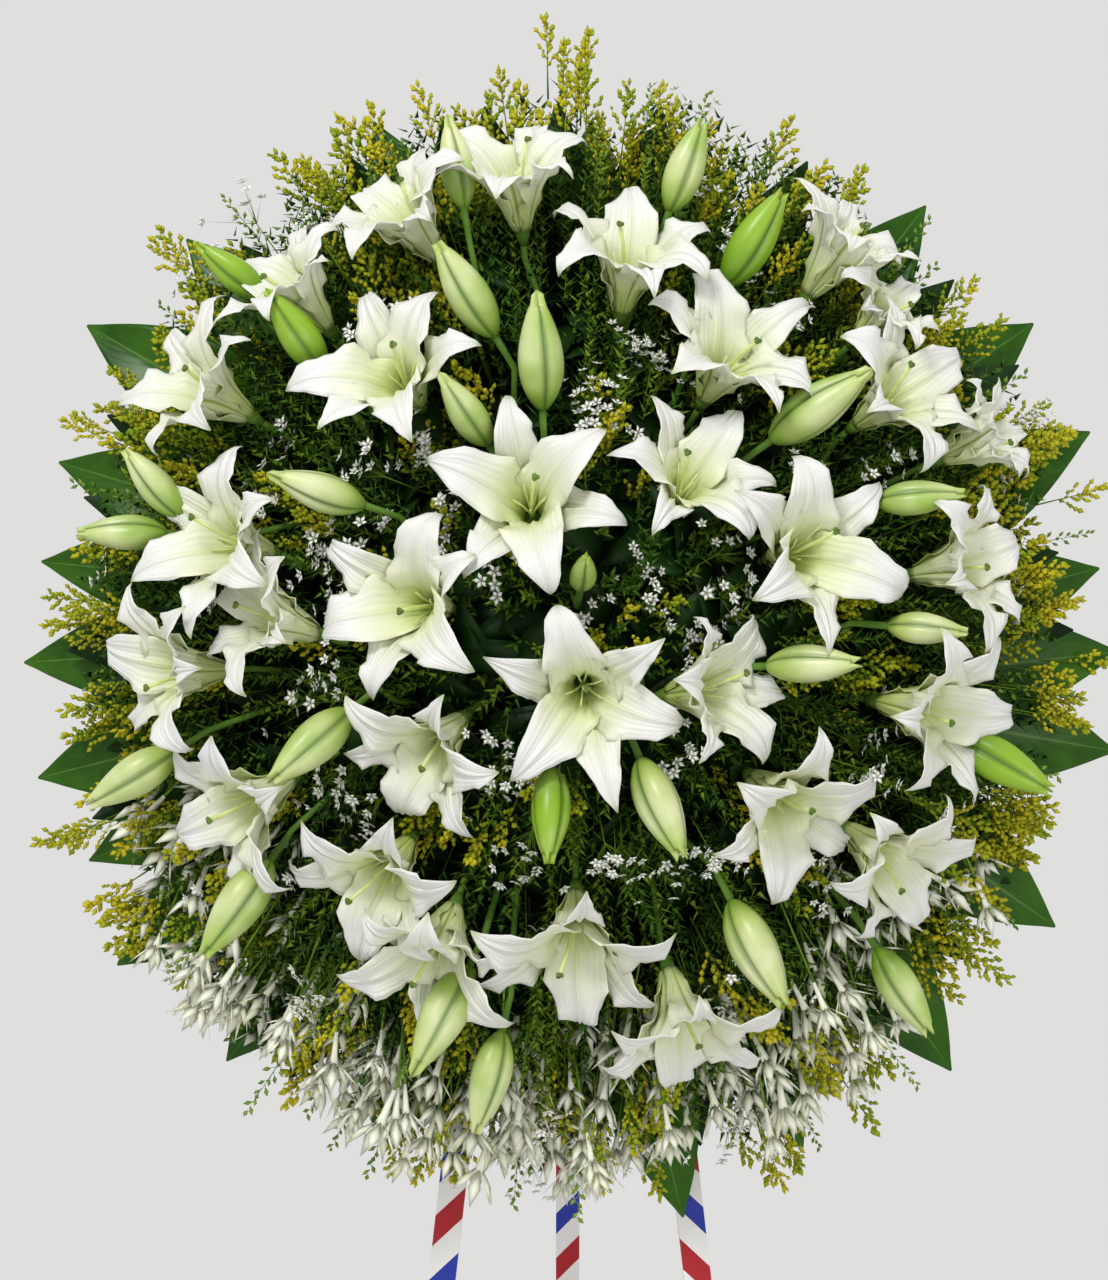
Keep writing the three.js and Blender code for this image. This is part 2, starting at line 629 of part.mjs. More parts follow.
// The stay runs level from the lower rail's back to the back leg.
const stayMiddle = middlePlane(LOWER_RAIL.y, railBack - GAP);
const stayEdge = (z) => {
  const onRail = (z - stayMiddle.y) * Math.tan(LEAN) + stayMiddle.x;
  return [new THREE.Vector2(onRail, z), new THREE.Vector2(backAt(z) - GAP, z)];
};
const stayLow = stayEdge(stayMiddle.y - LEG_SIDE / 2);
const stayHigh = stayEdge(stayMiddle.y + LEG_SIDE / 2);
const backStay = sideBoard([stayLow[0], stayLow[1], stayHigh[1], stayHigh[0]], LEG_SIDE);

function rail({ y, half }) {
  return new THREE.BoxGeometry(2 * half, RAIL.high, RAIL.thick).translate(0, y, -GAP - RAIL.thick / 2);
}

// Bolts: a shank through both pieces with a round head at one end.
function bolt(headAt, way, length, grow = 0) {
  const under = headAt.clone().addScaledVector(way, BOLT.headThick);
  const end = under.clone().addScaledVector(way, length);
  return joined([
    rod(headAt, under.clone().addScaledVector(way, 0.2), BOLT.head + grow, BOLT.head + grow, BOLT.sides),
    rod(under, end, BOLT.radius + grow, BOLT.radius + grow, BOLT.sides),
  ]);
}

const trayBoltHead = new THREE.Vector3(0, UPPER_RAIL.y, railBack - GAP - BOLT.headThick);
const trayBolt = (grow) => bolt(trayBoltHead, OUT, RAIL.thick + GAP + BITE, grow);
const apexBoltAt = apexTop.y - APEX_BOLT_DROP;
const apexBoltWay = new THREE.Vector3(0, -backNormal.x, -backNormal.y);
const apexBoltHead = new THREE.Vector3(0, backAt(apexBoltAt), apexBoltAt).addScaledVector(
  apexBoltWay,
  -(LEG_SIDE + GAP + BOLT.headThick),
);
const apexBolt = (grow) => bolt(apexBoltHead, apexBoltWay, LEG_SIDE + APEX.thick, grow);

// ---------------------------------------------------------------- foam and its tray
function turned(profile, segments) {
  const points = profile.map(([r, z]) => new THREE.Vector2(r, z));
  return new THREE.LatheGeometry(points, segments).rotateX(Math.PI / 2);
}

const tray = solid(
  turned(
    [
      [0, 0],
      [TRAY.radius, 0],
      [TRAY.radius, TRAY.high],
      [TRAY.radius - TRAY.wall, TRAY.high],
      [TRAY.radius - TRAY.wall, TRAY.floor],
      [0, TRAY.floor],
    ],
    ROUND,
  ),
);

const foamProfile = [[0, TRAY.floor + GAP], [FOAM.radius, TRAY.floor + GAP]];
for (let i = 0; i <= 4; i++) {
  const angle = (i / 4) * (Math.PI / 2);
  const rise = (FOAM.high - FOAM.shoulder) * Math.sin(angle);
  foamProfile.push([FOAM.radius * Math.cos(angle), FOAM.shoulder + rise]);
}
foamProfile[foamProfile.length - 1][0] = 0;

// ---------------------------------------------------------------- assembly
const fixed = [tray, solid(rail(UPPER_RAIL)), solid(rail(LOWER_RAIL)), frontLeg(-1), frontLeg(1)];
const plants = [];
for (const [kind, slot, plans, grown] of PLANTS) {
  plans.forEach((plan, i) => {
    const taken = [...fixed, ...plants.map((plant) => plant.wide.stems)];
    const isClear = (aside) => {
      const stems = grown(plan, PLANT_GAP, aside).stems;
      const near = taken.filter((other) => boxesMeet(stems.boundingBox(), other.boundingBox()));
      return near.every((other) => stems.intersect(other).isEmpty());
    };
    const aside = ASIDE.find(isClear);
    if (!aside) throw new Error(kind + " " + (i + 1) + " has no clear way out of the foam");
    plants.push({
      name: kind + "_" + String(i + 1).padStart(2, "0"),
      slot,
      real: grown(plan, 0, aside),
      wide: grown(plan, PLANT_GAP, aside),
    });
  });
}

const everyStem = plants.map((plant) => plant.wide.stems);
const foamShape = solid(turned(foamProfile, ROUND));
const foam = cutBy(foamShape, everyStem);
const placedSoft = [];
plants.forEach((plant, i) => {
  const others = everyStem.filter((_, j) => j !== i);
  const cutters = [...others, ...placedSoft, foamShape, ...fixed];
  const parts = plant.real.soft.map((part) => cutBy(part, cutters));
  plant.solid = oneBody(joined([plant.real.stems, ...parts]));
  placedSoft.push(...plant.wide.soft);
});

for (const { name, slot, solid: made } of plants) wreath.add(mesh(name, slot, geometryOf(made)));
wreath.add(
  mesh("foam_core", "foam", geometryOf(foam)),
  mesh("foam_tray", "tray", geometryOf(tray.subtract(trayBolt(GAP)))),
  mesh("upper_rail", "wood", geometryOf(solid(rail(UPPER_RAIL)).subtract(trayBolt(GAP)))),
  mesh("lower_rail", "wood", rail(LOWER_RAIL)),
  mesh("tray_bolt", "steel", geometryOf(trayBolt(0))),
  mesh("front_leg_left", "wood", geometryOf(frontLeg(-1))),
  mesh("front_leg_right", "wood", geometryOf(frontLeg(1))),
  mesh("leg_sleeve_left", "sleeve", geometryOf(frontSleeve(-1))),
  mesh("leg_sleeve_right", "sleeve", geometryOf(frontSleeve(1))),
);

const stand = new THREE.Group();
stand.add(
  mesh("back_leg", "wood", geometryOf(backLeg.subtract(apexBolt(GAP)))),
  mesh("leg_sleeve_back", "sleeve", geometryOf(backSleeve)),
  mesh("apex_block", "wood", geometryOf(solid(apexBlock).subtract(apexBolt(GAP)))),
  mesh("back_stay", "wood", backStay),
  mesh("apex_bolt", "steel", geometryOf(apexBolt(0))),
);

// The origin is under the middle of the whole, on the floor.
const whole = new THREE.Group();
whole.add(wreath, stand);
const box = new THREE.Box3().setFromObject(whole, true);
whole.position.set(-(box.min.x + box.max.x) / 2, -(box.min.y + box.max.y) / 2, 0);

const group = new THREE.Group();
group.add(whole);
export default group;
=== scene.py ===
"""A domed funeral wreath of white lilies on a wooden tripod with striped ribbon sleeves."""

import math
import random

import bmesh
import bpy
from mathutils import Matrix, Vector


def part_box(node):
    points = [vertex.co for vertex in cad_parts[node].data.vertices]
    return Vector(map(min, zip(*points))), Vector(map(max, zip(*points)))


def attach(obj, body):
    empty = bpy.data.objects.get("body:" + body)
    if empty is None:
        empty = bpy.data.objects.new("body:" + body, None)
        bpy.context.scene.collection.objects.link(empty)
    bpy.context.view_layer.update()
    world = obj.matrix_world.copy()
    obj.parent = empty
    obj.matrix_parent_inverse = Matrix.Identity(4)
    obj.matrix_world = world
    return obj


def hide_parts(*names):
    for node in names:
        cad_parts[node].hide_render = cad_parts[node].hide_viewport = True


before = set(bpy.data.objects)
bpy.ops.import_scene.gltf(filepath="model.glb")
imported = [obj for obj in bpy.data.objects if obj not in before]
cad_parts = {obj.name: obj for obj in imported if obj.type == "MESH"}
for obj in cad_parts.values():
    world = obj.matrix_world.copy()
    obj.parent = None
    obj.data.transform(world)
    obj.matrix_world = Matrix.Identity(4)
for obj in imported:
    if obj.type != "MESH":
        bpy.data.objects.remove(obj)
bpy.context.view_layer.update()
chance = random.Random(7)

# ---- the wreath's own frame
# X right, Y up along the lean, Z out of the dome towards the viewer, in metres.
LEAN = math.radians(8)
TRAY_HIGH = 0.038
CORE = Vector((0, 0, 0.03))  # the stems fan out from here, inside the foam
DOME = Vector((0.48, 0.53, 0.235))  # half its width, half its height and its depth
FOAM = Vector((0.2, 0.2, 0.082))  # the same of the foam, over the core
OUT = Vector((0, 0, 1))

tray_low, tray_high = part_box("foam_tray")
turn = Matrix.Rotation(math.pi / 2 - LEAN, 4, "X")
HEAD = Matrix.Translation((tray_low + tray_high) / 2 - (turn @ Vector((0, 0, TRAY_HIGH / 2)))) @ turn

# Lily stems, in millimetres and degrees. A bloom is (x, y, faces, tilt, length, spin, flare) and
# a bud is (x, y, heading, lift, length).
LILY_STEMS = [
    ([(-38, 110, 110, 14, 130, 45, 1)], [(10, 48, 80, 62, 62), (-27, 235, 93, 20, 108)]),
    ([(10, -58, 270, 12, 132, 104, 1)], [(-18, -157, 268, 22, 92), (76, -152, 293, 20, 104)]),
    ([(-140, 22, 175, 30, 126, 78, 1)], [(-215, 118, 162, 18, 92)]),
    ([(-154, 222, 130, 32, 124, 60, 1)], [(-90, 185, 125, 30, 84), (-90, 290, 122, 15, 102)]),
    ([(52, 325, 80, 52, 122, 90, 1), (-48, 400, 96, 60, 112, 25, 1)], [(100, 403, 70, 10, 92)]),
    ([(137, 237, 60, 42, 124, 100, 1)], [(158, 338, 58, 12, 104)]),
    ([(103, 131, 58, 36, 112, 57, 1), (125, -50, 8, 48, 112, 60, 1)], []),
    ([(205, 67, 10, 28, 130, 94, 1)], [(212, 190, 35, 18, 112), (300, 112, 5, 15, 84)]),
    ([(187, -155, 318, 40, 124, 26, 1)], [(205, -30, 2, 25, 92)]),
    ([(315, -73, 348, 48, 124, 117, 1)], [(305, 0, 355, 20, 76), (378, -118, 330, 12, 104)]),
    ([(278, -202, 322, 48, 116, 65, 1)], [(292, -318, 302, 12, 96)]),
    ([(345, 56, 10, 54, 110, 22, 1), (287, 206, 36, 46, 118, 37, 1), (362, 168, 25, 66, 84, 80, 0.7)], []),
    ([(236, 335, 55, 66, 104, 10, 0.8), (275, 280, 45, 60, 72, 40, 1)], []),
    ([(-147, 365, 128, 60, 112, 20, 1)], [(-100, 405, 100, 10, 84)]),
    (
        [(-243, 300, 130, 62, 104, 40, 0.85), (-325, 213, 150, 58, 112, 70, 1)],
        [(-296, 314, 143, 10, 80), (-236, 256, 125, 22, 92), (-362, 128, 130, 12, 84)],
    ),
    ([(-305, 78, 165, 45, 124, 84, 1), (-262, 12, 160, 60, 104, 30, 1)], [(-392, 84, 180, 8, 86)]),
    ([(-350, -37, 182, 52, 118, 54, 1)], [(-384, -130, 212, 10, 100)]),
    ([(-284, -155, 212, 50, 120, 84, 1)], [(-222, -100, 222, 24, 104), (-290, -242, 235, 15, 110)]),
    ([(-166, -217, 232, 42, 124, 6, 1), (-125, -105, 222, 44, 116, 5, 1)], []),
    ([(-118, -282, 248, 50, 116, 80, 1)], [(-112, -335, 242, 20, 112), (-72, -392, 255, 10, 98)]),
    ([(4, -275, 270, 46, 128, 27, 1)], []),
    ([(98, -345, 285, 56, 118, 30, 1)], [(160, -278, 297, 18, 112)]),
]

# Broad leaves, one or two to a twig: (tip x, tip y, heading, length, width).
LEAF_TWIGS = [
    [(327, 390, 52, 200, 92), (428, 283, 34, 205, 98)],
    [(478, 182, 26, 215, 98), (489, 57, 14, 205, 94)],
    [(505, -20, 6, 215, 98), (504, -112, 350, 225, 104)],
    [(446, -273, 325, 210, 98), (352, -407, 305, 205, 94)],
    [(104, -540, 284, 210, 86), (215, -478, 294, 190, 84)],
    [(-179, -472, 250, 200, 88), (-317, -398, 232, 190, 86)],
    [(-416, -308, 217, 210, 98), (-444, -213, 204, 195, 88)],
    [(-489, -136, 194, 205, 94), (-504, -30, 184, 210, 96)],
    [(-486, 63, 174, 190, 84), (-472, 155, 163, 200, 92)],
    [(-444, 280, 150, 205, 98), (-354, 361, 134, 205, 94)],
    [(-180, 467, 112, 205, 94), (20, 470, 88, 180, 80)],
]

# The goldenrod's tips round the rim, the white filler's heads and the tuberoses' mouths.
GOLDENROD_BUNCHES = [
    [(37, 517, 48), (99, 508, 35), (143, 490, 64), (244, 462, 48), (327, 352, 72), (391, 313, 40)],
    [(467, 198, 48), (476, 112, 35), (488, 20, 56), (492, -200, 40), (403, -343, 48)],
    [(299, -458, 40), (69, -528, 48), (-20, -505, 64), (-156, -500, 40), (-267, -452, 48)],
    [(-373, -366, 48), (-465, -184, 48), (-478, -83, 56), (-500, 23, 35), (-483, 101, 64)],
    [(-428, 216, 56), (-388, 313, 35), (-340, 384, 40), (-253, 462, 48), (-180, 430, 72), (-106, 504, 40)],
]
FILLER_BUNCHES = [
    [(40, 225), (75, 260), (20, 180), (150, 30), (60, 30), (190, 290)],
    [(270, -120), (230, -245), (130, -215), (90, -110), (150, -330), (340, -260), (30, -190), (-40, -330)],
    [(-200, 150), (-95, 80), (-230, 40), (-300, 150), (-200, -40), (-150, 120), (-60, -130), (-210, -150)],
]
TUBEROSE_BUNCHES = [
    [(-310, -330), (-345, -300), (-285, -385), (-330, -365)],
    [(-200, -420), (-150, -445), (-165, -405), (-105, -460)],
    [(-55, -470), (-15, -490), (25, -475), (65, -485)],
    [(120, -450), (165, -440), (205, -410), (250, -385)],
]


def heading(degrees):
    return Vector((math.cos(math.radians(degrees)), math.sin(math.radians(degrees)), 0))


def facing(degrees, tilt):
    """A direction at an angle from the dome's axis, towards a heading."""
    return heading(degrees) * math.sin(math.radians(tilt)) + OUT * math.cos(math.radians(tilt))


def dome_depth(x, y):
    return DOME.z * math.sqrt(max(0.03, 1 - (x / DOME.x) ** 2 - (y / DOME.y) ** 2))


def on_dome(x, y, above=0.0):
    """A place on the dome of flowers, or so far above it."""
    return Vector((x, y, dome_depth(x, y) + above))


def upright(axis, base, spin=0.0):
    """The place of a shape drawn along +Z that stands on base and points along axis."""
    turned = axis.to_track_quat("Z", "Y").to_matrix().to_4x4() @ Matrix.Rotation(spin, 4, "Z")
    return Matrix.Translation(base) @ turned


def shortest(axis, base):
    """The turn that takes +Z to an axis by the shortest way, as the solids are turned."""
    return Matrix.Translation(base) @ OUT.rotation_difference(axis).to_matrix().to_4x4()


def laid(axis, face):
    """The turn of a flat shape drawn along +Z, with its flat side towards a direction."""
    across = axis.cross(face).normalized()
    return Matrix((across, axis.cross(across), axis)).transposed().to_4x4()


# ---- materials
PETAL_WHITE = (0.83, 0.83, 0.795)


def shaded(name, build):
    """A material whose principled shader is set up by build(tree, shader)."""
    material = bpy.data.materials.new(name)
    material.use_nodes = True
    tree = material.node_tree
    build(tree, tree.nodes["Principled BSDF"])
    return material


def ramp(tree, factor, stops, interpolation="LINEAR"):
    """The colour of (place, colour) stops over a factor."""
    node = tree.nodes.new("ShaderNodeValToRGB")
    node.color_ramp.interpolation = interpolation
    elements = node.color_ramp.elements
    while len(elements) < len(stops):
        elements.new(0.5)
    for element, (position, colour) in zip(elements, stops):
        element.position = position
        element.color = (*colour, 1)
    tree.links.new(factor, node.inputs["Fac"])
    return node.outputs["Color"]


def mixed(tree, factor, a, b):
    """Colour a where the factor is 0 and b where it is 1."""
    node = tree.nodes.new("ShaderNodeMix")
    node.data_type = "RGBA"
    tree.links.new(factor, node.inputs["Factor"])
    for socket, value in ((node.inputs["A"], a), (node.inputs["B"], b)):
        if isinstance(value, tuple):
            socket.default_value = (*value, 1)
        else:
            tree.links.new(value, socket)
    return node.outputs["Result"]


def sums(tree, operation, a, b=None):
    """A math node over one or two sockets or numbers."""
    node = tree.nodes.new("ShaderNodeMath")
    node.operation = operation
    for socket, value in zip(node.inputs, (a, b)):
        if value is None:
            continue
        if isinstance(value, (int, float)):
            socket.default_value = value
        else:
            tree.links.new(value, socket)
    return node.outputs[0]


def clouds(tree, scale):
    """Soft noise from 0 to 1 over the finished object."""
    where = tree.nodes.new("ShaderNodeTexCoord")
    node = tree.nodes.new("ShaderNodeTexNoise")
    node.inputs["Scale"].default_value = scale
    node.inputs["Detail"].default_value = 3.0
    tree.links.new(where.outputs["Object"], node.inputs["Vector"])
    return node.outputs["Fac"]


def bumped(tree, shader, height, strength, distance):
    node = tree.nodes.new("ShaderNodeBump")
    node.inputs["Strength"].default_value = strength
    node.inputs["Distance"].default_value = distance
    tree.links.new(height, node.inputs["Height"])
    tree.links.new(node.outputs["Normal"], shader.inputs["Normal"])


def blade_ways(tree):
    """Across (0 to 1) and along (0 to 1) a petal, leaf or bud, from its own map."""
    where = tree.nodes.new("ShaderNodeUVMap")
    where.uv_map = "blade"
    split = tree.nodes.new("ShaderNodeSeparateXYZ")
    tree.links.new(where.outputs["UV"], split.inputs["Vector"])
    return split.outputs["X"], split.outputs["Y"]


def from_midrib(tree, across):
    """0 on the midrib and 1 at the edge."""
    centred = sums(tree, "SUBTRACT", across, 0.5)
    return sums(tree, "MULTIPLY", sums(tree, "ABSOLUTE", centred), 2.0)


def ribs(tree, across, count):
    """Fine veins that run along a blade."""
    wave = sums(tree, "SINE", sums(tree, "MULTIPLY", across, count * 2 * math.pi))
    return sums(tree, "MULTIPLY_ADD", wave, 0.5)


def attribute(tree, name):
    node = tree.nodes.new("ShaderNodeAttribute")
    node.attribute_name = name
    return node.outputs["Fac"]


def stepped(tree, factor, stops):
    """A grey ramp of (place, value) stops over a factor."""
    return ramp(tree, factor, [(place, (value, value, value)) for place, value in stops])


def product(tree, *factors):
    made = factors[0]
    for factor in factors[1:]:
        made = sums(tree, "MULTIPLY", made, factor)
    return made


def petal_finish(tree, shader):
    """White from a yellow-green throat, with a grooved midrib, faint veins and a green back rib."""
    across, along = blade_ways(tree)
    back, tone = attribute(tree, "back"), attribute(tree, "tone")
    off = from_midrib(tree, across)
    green, lime, cream = (0.4, 0.54, 0.06), (0.6, 0.7, 0.2), (0.78, 0.81, 0.54)
    stops = [(0.0, green), (0.2, lime), (0.46, cream), (0.74, PETAL_WHITE)]
    throat = ramp(tree, along, stops)
    warm = product(tree, tone, 0.4)
    base = mixed(tree, warm, throat, (0.77, 0.77, 0.64))
    front_rib = stepped(tree, off, [(0.0, 0.5), (0.1, 0.9), (0.2, 0.1), (0.3, 0.0)])
    front_fade = stepped(tree, along, [(0.0, 0.9), (0.35, 0.55), (0.7, 0.16), (0.9, 0.05)])
    base = mixed(tree, product(tree, front_rib, front_fade), base, (0.55, 0.66, 0.2))
    back_rib = stepped(tree, off, [(0.0, 1.0), (0.09, 0.85), (0.2, 0.1), (0.42, 0.0)])
    back_fade = stepped(tree, along, [(0.0, 1.0), (0.5, 0.8), (0.85, 0.3), (1.0, 0.7)])
    base = mixed(tree, product(tree, back, back_rib, back_fade), base, (0.24, 0.36, 0.04))
    tip = stepped(tree, along, [(0.93, 0.0), (1.0, 0.75)])
    base = mixed(tree, tip, base, (0.45, 0.55, 0.14))
    veins = ribs(tree, across, 11)
    streaks = product(tree, veins, clouds(tree, 30.0), 0.22)
    base = mixed(tree, streaks, base, (0.66, 0.69, 0.52))
    tree.links.new(base, shader.inputs["Base Color"])
    shader.inputs["Roughness"].default_value = 0.45
    shader.inputs["Subsurface Weight"].default_value = 0.25
    shader.inputs["Subsurface Radius"].default_value = (1.0, 1.0, 0.6)
    shader.inputs["Subsurface Scale"].default_value = 0.004
    bumped(tree, shader, veins, 0.5, 0.0006)


def bud_finish(tree, shader):
    """Cream to lime, with a blush that differs from bud to bud, and dark green where the petals meet and
    between the parted tips: partly their own line, partly painted shade.
    """
    _, along = blade_ways(tree)
    heel, low, middle, tip = (0.24, 0.38, 0.04), (0.46, 0.56, 0.15), (0.77, 0.78, 0.5), (0.66, 0.7, 0.33)
    pale = ramp(tree, along, [(0.0, heel), (0.2, low), (0.6, middle), (0.9, tip)])
    stops = [(0.0, (0.1, 0.24, 0.01)), (0.5, (0.24, 0.42, 0.015)), (1.0, (0.28, 0.44, 0.03))]
    lime = ramp(tree, along, stops)
    cloud = stepped(tree, clouds(tree, 16.0), [(0.35, 0.0), (0.65, 0.75)])
    blush = sums(tree, "ADD", attribute(tree, "tone"), cloud)
    blush.node.use_clamp = True
    base = mixed(tree, blush, pale, lime)
    # painted shade: the dark green that the ridge layer lays over the grooves and the gaps between the
    # parted tips is partly the buds' own green line and partly the shade that falls in these creases
    base = mixed(tree, attribute(tree, "ridge"), base, (0.06, 0.14, 0.008))
    tree.links.new(base, shader.inputs["Base Color"])
    shader.inputs["Roughness"].default_value = 0.36
    bumped(tree, shader, clouds(tree, 260.0), 0.15, 0.0005)


def leaf_finish(tree, shader):
    """Dark and glossy, with a pale midrib and side veins that slant to the tip."""
    across, along = blade_ways(tree)
    off = from_midrib(tree, across)
    rib = stepped(tree, off, [(0.0, 0.55), (0.05, 0.0)])
    branch = sums(tree, "SUBTRACT", along, product(tree, off, 0.3))
    wave = sums(tree, "SINE", product(tree, branch, 70.0))
    stops = [(0.3, (0.01, 0.058, 0.001)), (0.7, (0.04, 0.135, 0.003))]
    ground = ramp(tree, clouds(tree, 18.0), stops)
    veins = stepped(tree, wave, [(0.9, 0.0), (1.0, 0.16)])
    veined = mixed(tree, veins, ground, (0.07, 0.22, 0.025))
    base = mixed(tree, rib, veined, (0.15, 0.32, 0.05))
    tree.links.new(base, shader.inputs["Base Color"])
    shader.inputs["Roughness"].default_value = 0.3
    shader.inputs["Specular IOR Level"].default_value = 0.2
    bumped(tree, shader, wave, 0.1, 0.0005)


def mottled(low, high, roughness, scale):
    """A finish that wanders between two colours, with a fine grain."""

    def build(tree, shader):
        tone = ramp(tree, clouds(tree, scale), [(0.3, low), (0.7, high)])
        tree.links.new(tone, shader.inputs["Base Color"])
        shader.inputs["Roughness"].default_value = roughness
        shader.inputs["Specular IOR Level"].default_value = 0.16
        bumped(tree, shader, clouds(tree, scale * 6), 0.3, 0.0005)

    return build


def wood_finish(tree, shader):
    where = tree.nodes.new("ShaderNodeTexCoord")
    mapping = tree.nodes.new("ShaderNodeMapping")
    mapping.inputs["Scale"].default_value = (140, 140, 6)
    tree.links.new(where.outputs["Object"], mapping.inputs["Vector"])
    grain = tree.nodes.new("ShaderNodeTexNoise")
    grain.inputs["Scale"].default_value = 1.0
    grain.inputs["Detail"].default_value = 8.0
    tree.links.new(mapping.outputs["Vector"], grain.inputs["Vector"])
    dark, plain, light = (0.32, 0.19, 0.09), (0.5, 0.33, 0.17), (0.6, 0.43, 0.25)
    tone = ramp(tree, grain.outputs["Fac"], [(0.3, dark), (0.55, plain), (0.75, light)])
    tree.links.new(tone, shader.inputs["Base Color"])
    shader.inputs["Roughness"].default_value = 0.62
    bumped(tree, shader, grain.outputs["Fac"], 0.4, 0.0008)


def steel_finish(tree, shader):
    stops = [(0.3, (0.42, 0.42, 0.43)), (0.7, (0.62, 0.62, 0.63))]
    tree.links.new(ramp(tree, clouds(tree, 300.0), stops), shader.inputs["Base Color"])
    shader.inputs["Metallic"].default_value = 1.0
    shader.inputs["Roughness"].default_value = 0.35


def ribbon_finish(tree, shader):
    """White ribbon with a red and a blue band; the map's X is the place in one turn of the wrap."""
    where = tree.nodes.new("ShaderNodeUVMap")
    where.uv_map = "wrap"
    split = tree.nodes.new("ShaderNodeSeparateXYZ")
    tree.links.new(where.outputs["UV"], split.inputs["Vector"])
    turn_part = sums(tree, "FRACT", split.outputs["X"])
    white, red, blue = (0.82, 0.81, 0.79), (0.4, 0.004, 0.012), (0.008, 0.028, 0.34)
    stops = [(0.0, white), (0.27, red), (0.52, white), (0.78, blue)]
    bands = ramp(tree, turn_part, stops, "CONSTANT")
    shade = product(tree, clouds(tree, 60.0), 0.08)
    base = mixed(tree, shade, bands, (0.3, 0.3, 0.32))
    tree.links.new(base, shader.inputs["Base Color"])
    weave = ribs(tree, split.outputs["Y"], 1400)
    shader.inputs["Roughness"].default_value = 0.34
    shader.inputs["Specular IOR Level"].default_value = 0.25
    bumped(tree, shader, weave, 0.15, 0.0003)


def floor_finish(tree, shader):
    stops = [(0.3, (0.62, 0.61, 0.59)), (0.7, (0.7, 0.69, 0.67))]
    tree.links.new(ramp(tree, clouds(tree, 5.0), stops), shader.inputs["Base Color"])
    shader.inputs["Roughness"].default_value = 0.8


PETAL = shaded("lily_petal", petal_finish)
BUD = shaded("lily_bud", bud_finish)
LEAF = shaded("broad_leaf", leaf_finish)
STALK = shaded("lily_stalk", mottled((0.05, 0.13, 0.012), (0.14, 0.26, 0.035), 0.5, 40.0))
FILAMENT = shaded("lily_filament", mottled((0.55, 0.66, 0.2), (0.72, 0.78, 0.36), 0.5, 90.0))
STIGMA = shaded("lily_stigma", mottled((0.07, 0.13, 0.02), (0.16, 0.24, 0.05), 0.6, 200.0))
GREENS = shaded("fine_greens", mottled((0.014, 0.055, 0.004), (0.075, 0.18, 0.014), 0.55, 14.0))
# painted shade: leaves far darker than the other greens, so that the layers deep in the dome stand for the
# shade there as well as for real leaves
SHADE_DARK_LEAF = shaded("deep_leaf_painted_shade", mottled((0.003, 0.014, 0.002), (0.014, 0.05, 0.006), 0.5, 20.0))
SPRIG_GREEN = shaded("goldenrod_leaf", mottled((0.07, 0.16, 0.008), (0.22, 0.34, 0.025), 0.55, 30.0))
GOLD = shaded("goldenrod_bloom", mottled((0.17, 0.28, 0.01), (0.62, 0.52, 0.02), 0.7, 24.0))
POD = shaded("green_pods", mottled((0.07, 0.17, 0.015), (0.24, 0.36, 0.05), 0.6, 40.0))
FLORET = shaded("white_floret", mottled((0.84, 0.86, 0.76), (0.92, 0.92, 0.88), 0.55, 60.0))
BELL = shaded("tuberose_bell", mottled((0.88, 0.9, 0.66), (0.95, 0.95, 0.87), 0.45, 34.0))
BELL_STEM = shaded("tuberose_stem", mottled((0.09, 0.2, 0.015), (0.24, 0.4, 0.05), 0.5, 50.0))
WOOD = shaded("leg_wood", wood_finish)
STEEL = shaded("bolt_steel", steel_finish)
TRAY = shaded("tray_plastic", mottled((0.012, 0.045, 0.014), (0.02, 0.065, 0.022), 0.45, 60.0))
FOAM_FINISH = shaded("wet_foam", mottled((0.03, 0.09, 0.03), (0.07, 0.16, 0.06), 0.95, 180.0))
RIBBON = shaded("leg_ribbon", ribbon_finish)
FLOOR = shaded("pale_floor", floor_finish)


# ---- making
def finished(name, bm, materials, replaced, place=HEAD):
    """The piece of a name, smooth-shaded, that rides the body and stands for the replaced solids."""
    mesh = bpy.data.meshes.new(name)
    bm.to_mesh(mesh)
    bm.free()
    mesh.transform(place)
    for material in materials:
        mesh.materials.append(material)
    mesh.polygons.foreach_set("use_smooth", [True] * len(mesh.polygons))
    piece = bpy.data.objects.new(name, mesh)
    bpy.context.collection.objects.link(piece)
    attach(piece, "root")
    if replaced:
        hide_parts(*replaced)
    return piece


def template(bm):
    """A mesh that is only copied into pieces, and removed when they are made."""
    mesh = bpy.data.meshes.new("template")
    bm.to_mesh(mesh)
    bm.free()
    return mesh


def add_copy(bm, mesh, place):
    """A copy of a template mesh, put in place in a piece that is being made."""
    copy = mesh.copy()
    copy.transform(place)
    bm.from_mesh(copy)
    bpy.data.meshes.remove(copy)


def faces_of(verts):
    return list({face for vert in verts for face in vert.link_faces})


def face_outward(bm, faces):
    """Turns the faces of one closed shell outward, by the sign of the space that it holds."""
    bmesh.ops.recalc_face_normals(bm, faces=faces)
    start = faces[0].calc_center_median()
    held = sum((face.calc_center_median() - start).dot(face.normal) * face.calc_area() for face in faces)
    if held < 0:
        bmesh.ops.reverse_faces(bm, faces=faces)


def paint(verts, material):
    for face in faces_of(verts):
        face.material_index = material


